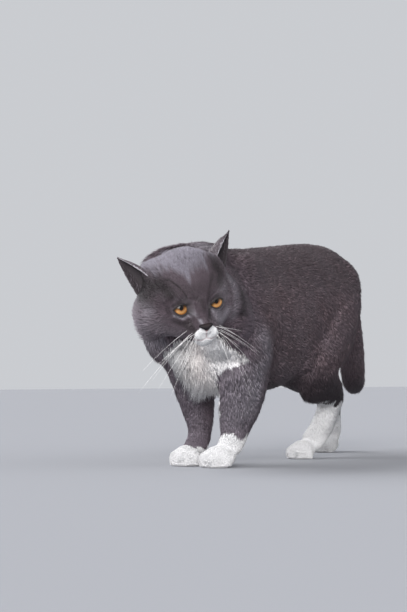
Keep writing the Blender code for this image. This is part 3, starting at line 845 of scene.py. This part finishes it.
def eye_material():
    """Amber iris with fine rays, a dark rim and a dark upright pupil."""
    made, tree, surface = shader("eye", 0.15, specular=0.25, coat=0.06)

    def maths(operation, *values):
        return added(tree, "Math", dict(enumerate(values)), operation=operation).outputs[0]

    def squares(x, y):
        """The squares of two lengths, added."""
        return maths("ADD", maths("MULTIPLY", x, x), maths("MULTIPLY", y, y))

    gaze = added(tree, "Attribute", attribute_name="gaze").outputs["Vector"]
    x, y, _ = added(tree, "SeparateXYZ", {0: gaze}).outputs
    radius, angle = maths("SQRT", squares(x, y)), maths("ARCTAN2", y, x)
    around = {"X": maths("MULTIPLY", angle, IRIS_RAYS), "Y": maths("MULTIPLY", radius, 2.2)}
    around = added(tree, "CombineXYZ", around).outputs["Vector"]
    rays = added(tree, "TexNoise", {"Vector": around, "Scale": 1.6, "Detail": 3.0}).outputs["Fac"]
    uneven = maths("MULTIPLY", maths("SUBTRACT", rays, 0.5), IRIS_UNEVEN)
    iris = added(tree, "ValToRGB", {"Fac": maths("ADD", radius, uneven)})
    elements = iris.color_ramp.elements
    while len(elements) < len(IRIS):
        elements.new(0.5)
    for element, (place, colour) in zip(elements, IRIS):
        element.position = place
        element.color = (*colour, 1.0)
    slit = squares(maths("DIVIDE", x, PUPIL_HALF_WIDTH), maths("DIVIDE", y, PUPIL_HALF_HEIGHT))
    outside = added(tree, "MapRange", {"Value": slit, "From Min": 0.85, "From Max": 1.15})
    colours = {"Factor": outside.outputs["Result"], "A": PUPIL_BLACK, "B": iris.outputs["Color"]}
    mix = added(tree, "Mix", colours, data_type="RGBA")
    shade = added(tree, "Attribute", attribute_name="lid_shade").outputs["Fac"]
    shaded(tree, surface, mix.outputs["Result"], shade)
    return made


def nose_material():
    pebbles = "TexVoronoi", "Distance", {"Scale": 1600.0}
    return grained("nose", 0.6, pebbles, (1.2, 0.8), (0.35, 0.0003), 0.22)


def whisker_material():
    return grained("whisker", 0.3, noise(300.0), (0.92, 1.05))


# ---- making pieces


def linked(name, data):
    """A new object of the scene."""
    obj = bpy.data.objects.new(name, data)
    bpy.context.scene.collection.objects.link(obj)
    return obj


def piece(name, mesh, material, nodes=()):
    """Shows a mesh as a piece that rides on the body and stands for these nodes."""
    mesh.materials.clear()
    mesh.materials.append(material)
    mesh.shade_smooth()
    obj = linked(name, mesh)
    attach(obj, "root")
    if nodes:
        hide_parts(*nodes)


def tint(mesh, colours):
    """Stores a colour for each vertex."""
    attribute = mesh.attributes.new("tint", "FLOAT_COLOR", "POINT")
    full = np.ones((len(colours), 4), dtype=np.float32)
    full[:, :3] = colours
    attribute.data.foreach_set("color", full.ravel())


def mesh_of(name, places, faces):
    mesh = bpy.data.meshes.new(name)
    mesh.from_pydata([tuple(place) for place in places], [], faces)
    mesh.update()
    return mesh


# ---- tufts

# A tuft is a bent kite with a ridge: root, left, right, ridge and tip.
TUFT_FACES = np.array(((0, 3, 1), (0, 2, 3), (1, 3, 4), (3, 2, 4), (0, 1, 2), (1, 4, 2)))
TUFT_PATCH = np.array(((0.0, -1.0), (-1.0, 0.0), (1.0, 0.0), (0.0, 0.0), (0.0, 1.0))) * 0.0015
# Each tuft's painted shade by corner, root, left, right, ridge and tip: darker at the root, where the
# tufts shade each other, and a painted sheen towards the tip.
TUFT_SHADE = np.array((0.62, 0.86, 0.86, 1.0, 1.22))
ROOT_DEPTH_M, ABOVE_FLOOR_M = 0.0003, 0.0003


def sample(skin, rng):
    """Seeded roots over the skin: which vertices they lie between, and how much of each."""
    skin.mesh.calc_loop_triangles()
    corners = np.empty(len(skin.mesh.loop_triangles) * 3, dtype=np.int64)
    skin.mesh.loop_triangles.foreach_get("vertices", corners)
    corners = corners.reshape(-1, 3)
    a, b, c = (skin.places[corners[:, k]] for k in range(3))
    area = 0.5 * np.linalg.norm(np.cross(b - a, c - a), axis=1) / CM**2
    spacing = skin.table[corners, SPACING].mean(axis=1)
    thinned = 1.0
    open_skin = 1.0 - skin.bare[corners].max(axis=1)
    wanted = area / spacing**2 * open_skin / thinned
    count = np.floor(wanted + rng.random(len(wanted))).astype(int)
    faces = np.repeat(np.arange(len(count)), count)
    u, v = rng.random((2, len(faces)))
    over = u + v > 1
    u[over], v[over] = 1 - u[over], 1 - v[over]
    weights = np.stack((1 - u - v, u, v), axis=1)
    return corners[faces], weights


def blended(values, corners, weights):
    if values.ndim == 1:
        return (values[corners] * weights).sum(axis=1)
    return (values[corners] * weights[:, :, None]).sum(axis=1)


def turned_about(vectors, axes, angles):
    """Vectors turned about unit axes by angles in radians."""
    c, s = np.cos(angles)[:, None], np.sin(angles)[:, None]
    along = (vectors * axes).sum(axis=1, keepdims=True)
    return vectors * c + np.cross(axes, vectors) * s + axes * along * (1 - c)


def tuft_places(root, normal, lie, length, width, lift, rng):
    """Five corners of each tuft, in metres. length and width are in centimetres."""
    count = len(root)
    swirl = 0.16 * waves(root / CM, 4.0, 31) + 0.13 * waves(root / CM, 1.1, 32)
    lie = turned_about(lie, normal, swirl + rng.normal(0, 0.13, count))
    side = turned_about(np.cross(normal, lie), lie, rng.normal(0, 0.35, count))
    lift = np.radians(lift) * (1 + 0.15 * waves(root / CM, 0.9, 33)) * rng.uniform(0.75, 1.2, count)
    length = (length * rng.uniform(0.75, 1.2, count) * CM)[:, None]
    width = (width * rng.uniform(0.8, 1.2, count) * CM)[:, None]
    up, flat = np.sin(lift)[:, None], np.cos(lift)[:, None]
    tip_lift = (lift * 0.35)[:, None]
    start = root - normal * ROOT_DEPTH_M
    ridge = start + (lie * flat + normal * up) * (length * 0.42)
    tip = ridge + (lie * np.cos(tip_lift) + normal * np.sin(tip_lift)) * (length * 0.58)
    low = ridge - normal * (width * 0.22)
    return np.stack((start, low - side * width / 2, low + side * width / 2, ridge, tip), axis=1)


def unwrapped(places):
    """The roots of a piece unrolled round its longest way, in 0.003 to 0.997."""
    offset = places - places.mean(axis=0)
    _, _, axes = np.linalg.svd(offset[:: max(1, len(offset) // 4000)], full_matrices=False)
    along, across, deep = offset @ axes[0], offset @ axes[1], offset @ axes[2]
    around = np.arctan2(deep, across)
    flat = np.stack((around, along), axis=1)
    low, high = flat.min(axis=0), flat.max(axis=0)
    return 0.003 + 0.994 * (flat - low) / (high - low)


def coat_mesh(name, tufts, colours):
    """Tufts as one mesh, with their colours and their own map."""
    count = len(tufts)
    mesh = bpy.data.meshes.new(name)
    mesh.vertices.add(count * 5)
    mesh.vertices.foreach_set("co", tufts.ravel())
    faces = (np.arange(count)[:, None, None] * 5 + TUFT_FACES[None]).reshape(-1)
    mesh.loops.add(len(faces))
    mesh.loops.foreach_set("vertex_index", faces)
    mesh.polygons.add(len(faces) // 3)
    mesh.polygons.foreach_set("loop_start", np.arange(0, len(faces), 3))
    mesh.update(calc_edges=True)
    layer = mesh.uv_layers.new(name="OFBake")
    patches = unwrapped(tufts[:, 0])[:, None, :] + TUFT_PATCH[None]
    layer.uv.foreach_set("vector", patches.reshape(-1, 2)[faces].astype(np.float32).ravel())
    tint(mesh, np.clip(colours.reshape(-1, 3), 0.0, 1.0))
    return mesh


def coat_piece(node):
    """The coat piece of a solid, before the trunk's sides, the face and the white are told apart."""
    side = node.rsplit("_", 1)[-1]
    name = "coat_" + part_of(node)[PIECE]
    return f"{name}_{side}" if side in ("left", "right") and name != "coat_crown" else name


def coat_names(labels, places, points, white):
    """The coat piece that each root belongs to."""
    names = by_node(labels, coat_piece).astype("<U24")
    two_sided = np.isin(names, ("coat_barrel", "coat_hips"))
    sides = np.where(places[two_sided, 0] > 0, "_left", "_right")
    names[two_sided] = np.char.add(names[two_sided], sides)
    names[(names == "coat_crown") & (points[:, 0] > FACE_FORWARD)] = "coat_face"
    pale = white > 0.5
    names[pale & np.isin(names, ("coat_chest", "coat_neck", "coat_crown"))] = "coat_bib"
    names[pale & np.char.startswith(names, "coat_upper_arm")] = "coat_bib"
    names[pale & (names == "coat_face")] = "coat_muzzle"
    legs = np.char.startswith(names, "coat_foreleg") | np.char.startswith(names, "coat_hind_leg")
    names[pale & legs] = np.char.replace(names[pale & legs], "coat_", "coat_sock_")
    return names


def make_coat(skin, material):
    rng = np.random.default_rng(SEED)
    corners, weights = sample(skin, rng)
    root = blended(skin.places, corners, weights)
    normal = unit(blended(skin.normals, corners, weights))
    lie = blended(skin.lie, corners, weights)
    lie = unit(lie - normal * (lie * normal).sum(axis=1, keepdims=True))
    table = blended(skin.table, corners, weights)
    tufts = tuft_places(root, normal, lie, table[:, LENGTH], table[:, WIDTH], table[:, LIFT], rng)
    tufts[:, :, 2] = np.maximum(tufts[:, :, 2], ABOVE_FLOOR_M)
    shown = tufts[:, 3:].mean(axis=1)
    points = in_head(shown)
    stray = rng.normal(0, 0.12, len(root)).clip(-0.3, 0.3)
    white = (white_share(shown, points) + stray > 0.5).astype(float)
    base = coat_colour(shown, points, white)
    own = rng.lognormal(0.0, 0.15, len(root)) * (1 - 0.8 * white) + 0.8 * white
    shade = TUFT_SHADE[None] ** (1 - 0.8 * white)[:, None]
    colours = base[:, None, :] * (own[:, None] * shade)[:, :, None]
    nearest = corners[np.arange(len(corners)), weights.argmax(axis=1)]
    names = coat_names(skin.labels[nearest], root, in_head(root), white)
    for name in np.unique(names):
        chosen = names == name
        mesh = coat_mesh(name, tufts[chosen], colours[chosen])
        piece(name, mesh, material)


# ---- eyes, nose, ears, whiskers


def ball(rings, sides):
    """Unit places and faces of a ball whose pole is +Z, with rings close together there."""
    places = [(0.0, 0.0, 1.0)]
    for ring in range(1, rings):
        polar = math.pi * (ring / rings) ** 1.25
        for n in range(sides):
            angle = 2 * math.pi * n / sides
            wide = math.sin(polar)
            places.append((wide * math.cos(angle), wide * math.sin(angle), math.cos(polar)))
    places.append((0.0, 0.0, -1.0))
    faces = [(0, 1 + n, 1 + (n + 1) % sides) for n in range(sides)]
    for ring in range(rings - 2):
        start = 1 + ring * sides
        for n in range(sides):
            m = (n + 1) % sides
            faces.append((start + n, start + sides + n, start + sides + m, start + m))
    start = 1 + (rings - 2) * sides
    faces += [(start + n, len(places) - 1, start + (n + 1) % sides) for n in range(sides)]
    return np.array(places), faces


def make_eye(name, material):
    """An eyeball with a cornea that swells a little, looking towards the viewer."""
    unit_places, faces = ball(40, 64)
    centre = np.array(middle(name))
    ahead = unit(np.array(CAMERA_PLACE) - centre)
    up = unit(HEAD_AXES[:, 2] - ahead * (HEAD_AXES[:, 2] @ ahead))
    rise, turn = math.radians(GAZE_RISE), math.radians(GAZE_TURN[name])
    raised = ahead * math.cos(rise) + up * math.sin(rise)
    up = up * math.cos(rise) - ahead * math.sin(rise)
    ahead = raised * math.cos(turn) + np.cross(up, raised) * math.sin(turn)
    swell = 1.0 + CORNEA_SWELL * ramp(unit_places[:, 2], 0.55, 0.95)
    local = unit_places * swell[:, None] * (EYE_RADIUS * CM / 1.03)
    places = centre + local @ np.array((np.cross(up, ahead), up, ahead))
    mesh = mesh_of(name, places, faces)
    gaze = mesh.attributes.new("gaze", "FLOAT_VECTOR", "POINT")
    gaze.data.foreach_set("vector", unit_places.astype(np.float32).ravel())
    upper = lid_gaps(in_head(places), 1 if name == "eye_left" else -1)[0]
    shade = mesh.attributes.new("lid_shade", "FLOAT", "POINT")
    shade.data.foreach_set("value", (0.12 + 0.88 * ramp(upper, 0.02, 0.42)).astype(np.float32))
    piece(f"{name}ball", mesh, material, (name,))


NOSE_MIDDLE = (5.24, 0.0, -1.68)  # of the leather's ball
NOSE_DEEP, NOSE_WIDE, NOSE_TALL = 0.42, 0.90, 0.46
NOSTRIL_ACROSS, NOSTRIL_DEEP = 0.52, 0.26
NOSE_BLACK, NOSE_BROWN = np.array((0.008, 0.006, 0.008)), np.array((0.019, 0.013, 0.014))
NOSE_PINK = np.array((0.42, 0.20, 0.21))


def make_nose(material):
    """The nose leather: a rounded pad, wide above and narrow below, with two nostrils."""
    unit_places, faces = ball(34, 56)
    x, y, z = unit_places.T  # left, up, forward
    wide = NOSE_WIDE * (1.0 - 0.66 * ramp(-y, -0.3, 1.0))
    tall = NOSE_TALL * y + 0.20 * np.abs(x) ** 1.5 - 0.06
    local = np.stack((NOSE_DEEP * z, wide * x, tall), axis=1)
    for side in SIDES:
        across = (x - side * NOSTRIL_ACROSS) / 0.24
        above = (y + 0.12 - 0.35 * (np.abs(x) - 0.5)) / 0.26
        local[:, 0] -= NOSTRIL_DEEP * np.exp(-(across**2 + above**2) * 1.6) * (z > 0)
    local[:, 0] -= 0.10 * bell(x, 0.10) * ramp(-y, 0.0, 0.5) * (z > 0)
    mesh = mesh_of("nose_leather", on_head(local + np.array(NOSE_MIDDLE)), faces)
    pinkish = ramp(-y, 0.40, 0.80) * ramp(-np.abs(x), -0.5, -0.2)
    brownish = ramp(y, 0.1, 0.8) * ramp(-np.abs(x), -0.9, -0.3)
    pink = (NOSE_PINK - NOSE_BLACK) * pinkish[:, None] * 0.8
    tint(mesh, NOSE_BLACK + pink + (NOSE_BROWN - NOSE_BLACK) * brownish[:, None])
    piece("nose_leather", mesh, material, ("nose",))


# Each ear: foot of its front edge, foot of its outer edge, tip, and how deep it is cupped.
EARS = {
    "left": ((-1.3, 3.9, 3.2), (-3.4, 6.2, 1.7), (-4.5, 6.9, 5.9), 3.0),
    "right": ((0.0, -4.55, 3.3), (-2.1, -6.0, 0.2), (-4.5, -7.2, 5.1), 2.7),
}
EAR_ROWS, EAR_COLUMNS = 26, 24
EAR_HALF_THICKNESS = 0.10
EAR_INNER, EAR_RIM = np.array((0.022, 0.016, 0.020)), np.array((0.42, 0.40, 0.44))
EAR_RIM_SHARE = 0.07  # of the ear's width

# Tufts of each ear: number, from and to across it, face (1 is the back, -1 the hollow), lean across
# it (None for short fur, which lies towards the tip), length, width, foot above the middle of the
# ear in half thicknesses, lift, how uneven the shades are, and colour.
EAR_TUFTS = (
    (5200, 0.0, 1.0, 1, None, 0.40, 0.07, 0.7, 18.0, 0.18, GREY * 0.62),
    (2700, 0.02, 0.98, -1, None, 0.35, 0.05, 0.7, 14.0, 0.25, (0.036, 0.026, 0.032)),
    (200, 0.03, 0.16, -1, 0.35, 1.4, 0.03, 0.35, 14.0, 0.25, (0.15, 0.13, 0.15)),
    (140, 0.86, 0.98, -1, -0.3, 1.0, 0.03, 0.3, 14.0, 0.25, (0.15, 0.13, 0.15)),
    (420, 0.0, 0.04, -1, 0.0, 0.6, 0.06, 0.0, 14.0, 0.25, (0.50, 0.48, 0.52)),  # the margin
    (420, 0.0, 0.045, 1, 0.0, 0.6, 0.06, 0.5, 14.0, 0.25, (0.50, 0.48, 0.52)),
)


def ear_surface(ear):
    """Rows of the ear's middle surface from foot to tip, with the way out through its back."""
    front, outer, tip = (np.array(place) for place in ear[:3])
    opening = unit(np.cross(outer - front, tip - front))
    if opening[0] < 0:
        opening = -opening
    foot = (front + outer) / 2
    root = foot - (tip - foot) * 0.25
    rows = []
    for step in range(EAR_ROWS + 1):
        t = step / EAR_ROWS * 0.985
        swell = (1 - t**1.5) ** 0.9 - (1 - t) ** 2 * 0.06
        wide = (outer - front) / 2 * swell
        deep = opening * (ear[3] * (1 - t) ** 0.8 + 0.12) * min(1.0, 5 * (1 - t))
        centre = root + (tip - root) * t - opening * (0.5 * (1 - t))
        angles = np.linspace(0, math.pi, EAR_COLUMNS + 1)
        row = centre - np.outer(np.cos(angles), wide) - np.outer(np.sin(angles), deep)
        rows.append(row)
    return np.array(rows), opening


def make_ear(side, material):
    """A thin cupped ear, furred behind, dark and nearly bare inside, with a pale front edge."""
    rows, opening = ear_surface(EARS[side])
    count, columns = rows.shape[:2]
    down, across = np.gradient(rows, axis=0), np.gradient(rows, axis=1)
    normal = unit(np.cross(across, down))
    if (normal[count // 2, columns // 2] @ opening) > 0:
        normal = -normal
    edge = np.sin(np.linspace(0, math.pi, columns))[None, :, None]
    thick = EAR_HALF_THICKNESS * (0.25 + 0.75 * edge**0.5)
    back, hollow = rows + normal * thick, rows - normal * thick
    places = np.concatenate((back.reshape(-1, 3), hollow.reshape(-1, 3)))
    faces, start = [], count * columns
    for i in range(count - 1):
        for j in range(columns - 1):
            a, d = i * columns + j, (i + 1) * columns + j
            faces.append((a, a + 1, d + 1, d))
            faces.append((start + d, start + d + 1, start + a + 1, start + a))
        for a, flip in ((i * columns, False), ((i + 1) * columns - 1, True)):
            strip = (a, a + columns, start + a + columns, start + a)
            faces.append(strip[::-1] if flip else strip)
    for j in range(columns - 1):
        top = (count - 1) * columns + j
        faces.append((top, top + 1, start + top + 1, start + top))
        faces.append((j + 1, j, start + j, start + j + 1))
    mesh = mesh_of(f"ear_skin_{side}", on_head(places), faces)
    shape = bmesh.new()
    shape.from_mesh(mesh)
    bmesh.ops.recalc_face_normals(shape, faces=shape.faces)
    shape.to_mesh(mesh)
    shape.free()
    colours = np.concatenate([np.tile(colour, (start, 1)) for colour in (GREY * 0.5, EAR_INNER)])
    rim = np.tile(bell(np.linspace(0, 1, columns), EAR_RIM_SHARE), 2 * count)
    tint(mesh, mixed(colours, EAR_RIM, rim))
    piece(f"ear_skin_{side}", mesh, material, (f"ear_{side}",))
    return rows, normal, down, across


def between(grid, rows, columns):
    """A grid's values between its rows and columns."""
    i, j = rows.astype(int), columns.astype(int)
    down, over = (rows - i)[:, None], (columns - j)[:, None]
    top = grid[i, j] * (1 - over) + grid[i, j + 1] * over
    bottom = grid[i + 1, j] * (1 - over) + grid[i + 1, j + 1] * over
    return top * (1 - down) + bottom * down


def make_ear_coat(side, ear, material):
    """Short fur on both faces of the ear, and long thin hair in its hollow and on its front edge."""
    rng = np.random.default_rng(SEED + (3 if side == "left" else 4))
    count, columns = ear[0].shape[:2]
    thinned = 1
    tufts, colours = [], []
    for number, low, high, face, lean, long, thick, foot, lift, uneven, colour in EAR_TUFTS:
        i = rng.uniform(0, count - 1.001, number // thinned)
        j = rng.uniform(low, high, number // thinned) * (columns - 1.001)
        root, out, tipward, over = (between(grid, i, j) for grid in ear)
        out, tipward, over = unit(out) * face, unit(tipward), unit(over)
        root = root + out * EAR_HALF_THICKNESS * foot
        if lean is None:
            way, size = tipward, long * (1 - 0.4 * (i / count))
        else:
            way = unit(tipward * 0.75 + over * lean + out * 0.35 * abs(lean))
            size = long * (1 - 0.8 * (i / count)) * rng.uniform(0.6, 1.1, len(root))
        out, way, wide = out @ HEAD_AXES.T, way @ HEAD_AXES.T, np.full(len(root), thick)
        tufts.append(tuft_places(on_head(root), out, way, size, wide, lift, rng))
        shade = np.array(colour) * rng.lognormal(0, uneven, len(root))[:, None]
        colours.append(shade[:, None, :] * TUFT_SHADE[None, :, None])
    mesh = coat_mesh(f"coat_ear_{side}", np.concatenate(tufts), np.concatenate(colours))
    piece(f"coat_ear_{side}", mesh, material)


def tube(path, radius, sides=5):
    """Places and faces of a tapering tube along a path in the head's frame."""
    places, faces = [], []
    path = np.asarray(path)
    ahead = unit(np.gradient(path, axis=0))
    side = unit(np.cross(ahead, np.array((0.3, 0.2, 1.0))))
    up = np.cross(side, ahead)
    for n, centre in enumerate(path[:-1]):
        size = radius * (1 - 0.70 * n / (len(path) - 1))
        for k in range(sides):
            angle = 2 * math.pi * k / sides
            places.append(centre + (side[n] * math.cos(angle) + up[n] * math.sin(angle)) * size)
    places.append(path[-1])
    for n in range(len(path) - 2):
        for k in range(sides):
            m = (k + 1) % sides
            faces.append((n * sides + k, n * sides + m, (n + 1) * sides + m, (n + 1) * sides + k))
    start = (len(path) - 2) * sides
    faces += [(start + k, start + (k + 1) % sides, len(places) - 1) for k in range(sides)]
    faces.append(tuple(reversed(range(sides))))
    return places, faces


WHISKER_FALL = {-1: 20, 1: 24}  # degrees below level of the top row, on the right and the left
WHISKER_PALE, WHISKER_GREY = (0.90, 0.89, 0.88), (0.22, 0.20, 0.22)
WHISKER_RADIUS, BROW_RADIUS = 0.017, 0.009
WHISKER_LIFT_M = 0.003  # how far a whisker keeps from the skin
WHISKER_REACH_M = 0.0895  # how far to the left or right of the body's middle a whisker may end


def rooted(tree, across, up):
    """The place of the head's skin seen from ahead at this place across and up, or None."""
    place, way = on_head((9.0, across, up)), -HEAD_AXES[:, 0]
    hit = tree.ray_cast(Vector(place), Vector(way))[0]
    return None if hit is None else in_head(np.array(hit)) - np.array((0.05, 0.0, 0.0))


def over_fur(tree, path):
    """A path in the head's frame, lifted where it would pass under the fur."""
    places = on_head(path)
    for n in range(2, len(places)):
        nearest, out = tree.find_nearest(Vector(places[n]))[:2]
        short = WHISKER_LIFT_M - (Vector(places[n]) - nearest).dot(out)
        if 0.0 < short < 0.02:
            places[n] += np.array(out) * short
    return in_head(places)


def whisker(tree, root, way, bend, length):
    """A curved path in the head's frame, shortened until it ends within reach of the body."""
    steps = np.linspace(0, 1, 12)[:, None]
    while True:
        path = root + way * steps * length + bend * steps**2 * length * 0.5
        if abs(on_head(path[-1])[0]) < WHISKER_REACH_M:
            return over_fur(tree, path)
        length *= 0.95


def whisker_paths(tree):
    """Paths of the whiskers and the brow hairs, in the head's frame, with their radii."""
    rng = np.random.default_rng(SEED + 1)
    for side in SIDES:
        for row in range(4):
            for column in range(3):
                across = side * (1.20 + 0.34 * column + rng.normal(0, 0.06))
                up = -2.15 - 0.30 * row - 0.05 * column + rng.normal(0, 0.08)
                root = rooted(tree, across, up)
                fall = math.radians(WHISKER_FALL[side] + 15 * row + rng.normal(0, 7))
                way = (0.35 - 0.17 * column, side * math.cos(fall), -math.sin(fall))
                length = (4.6 + 1.5 * column) * rng.uniform(0.75, 1.25)
                bend = np.array((-0.45, 0.0, -0.55)) * rng.uniform(0.4, 1.5)
                if root is not None:
                    yield whisker(tree, root, unit(np.array(way)), bend, length), WHISKER_RADIUS
        for n in range(3):
            root = rooted(tree, side * (1.9 + 0.35 * n), 1.25)
            way = unit(np.array((0.55, side * 0.45, 0.75)) + rng.normal(0, 0.12, 3))
            length = rng.uniform(1.8, 3.4)
            bend = np.array((-0.45, side * 0.15, 0.0))
            yield whisker(tree, root, way, bend, length), BROW_RADIUS


def make_whiskers(skin, material):
    places, faces, colours = [], [], []
    polygons = [tuple(polygon.vertices) for polygon in skin.mesh.polygons]
    tree = BVHTree.FromPolygons(skin.places.tolist(), polygons)
    for path, radius in whisker_paths(tree):
        made, rings = tube(path, radius)
        start = len(places)
        places.extend(made)
        faces.extend(tuple(start + index for index in face) for face in rings)
        colours.extend([WHISKER_PALE if radius > BROW_RADIUS else WHISKER_GREY] * len(made))
    mesh = mesh_of("whiskers", on_head(np.array(places)), faces)
    tint(mesh, colours)
    piece("whiskers", mesh, material)


# ---- the set

# Far, wide lights that shine from their side towards the middle: place, spread, strength, colour.
LIGHTS = {
    "window": ((-1.9, 0.1, 1.5), 45.0, 3.4, (0.97, 0.98, 1.0)),
    "front": ((1.0, -2.6, 0.62), 40.0, 4.0, (1.0, 0.98, 0.97)),
    "fill": ((2.0, 0.5, 1.0), 60.0, 0.6, (1.0, 1.0, 1.0)),
    "low": ((-1.0, -2.5, 0.22), 60.0, 0.8, (1.0, 0.99, 0.98)),
}
FLOOR_HALF_M, FLOOR_COLOUR = 30.0, (0.30, 0.305, 0.325, 1.0)
WORLD_COLOUR, WORLD_STRENGTH = (0.82, 0.84, 0.88, 1.0), 0.72


def make_set():
    """A pale floor that runs out of sight, and soft light from above."""
    half = FLOOR_HALF_M
    corners = [(-half, -half, 0.0), (half, -half, 0.0), (half, half, 0.0), (-half, half, 0.0)]
    floor = linked("floor", mesh_of("floor", corners, [(0, 1, 2, 3)]))
    made, _, surface = shader("floor", 0.9, specular=0.0)
    surface.inputs["Base Color"].default_value = FLOOR_COLOUR
    floor.data.materials.append(made)
    world = bpy.data.worlds.new("studio")
    world.use_nodes = True
    background = world.node_tree.nodes["Background"]
    background.inputs["Color"].default_value = WORLD_COLOUR
    background.inputs["Strength"].default_value = WORLD_STRENGTH
    bpy.context.scene.world = world
    for name, (place, spread, strength, colour) in LIGHTS.items():
        light = bpy.data.lights.new(name, "SUN")
        light.angle, light.energy, light.color = math.radians(spread), strength, colour
        obj = linked(name, light)
        obj.location = place
        obj.rotation_euler = (-Vector(place)).to_track_quat("-Z", "Y").to_euler()


def make_camera():
    camera = bpy.data.cameras.new("camera")
    camera.lens = CAMERA_LENS
    obj = linked("camera", camera)
    azimuth, pitch, roll = (math.radians(a) for a in (CAMERA_AZIMUTH, CAMERA_PITCH, CAMERA_ROLL))
    turn = Matrix.Rotation(azimuth, 4, "Z") @ Matrix.Rotation(math.pi / 2 + pitch, 4, "X")
    obj.matrix_world = Matrix.Translation(CAMERA_PLACE) @ turn @ Matrix.Rotation(-roll, 4, "Z")
    bpy.context.scene.camera = obj
    bpy.context.scene.view_settings.view_transform = "Standard"


# The skin is darker than the coat: painted shade where it lies under the tufts.
SKIN_SHADE = 0.8  # of the coat's colour
LID_DARK = np.array((0.012, 0.009, 0.010))


def make_skin():
    skin = Skin()
    # The coat's colour, darkened as painted shade under the tufts.
    colours = coat_colour(skin.places, skin.points, skin.white) * SKIN_SHADE
    tint(skin.mesh, mixed(colours, LID_DARK, skin.rim()))
    flesh = [name for name in FLESH if not name.startswith(("eye", "nose"))]
    piece("skin", skin.mesh, skin_material(), flesh)
    return skin


def main():
    make_camera()
    make_set()
    skin = make_skin()
    eyes = eye_material()
    for name in ("eye_left", "eye_right"):
        make_eye(name, eyes)
    make_nose(nose_material())
    coat = coat_material()
    ears = skin_material()
    for side in EARS:
        make_ear_coat(side, make_ear(side, ears), coat)
    make_coat(skin, coat)
    make_whiskers(skin, whisker_material())


main()
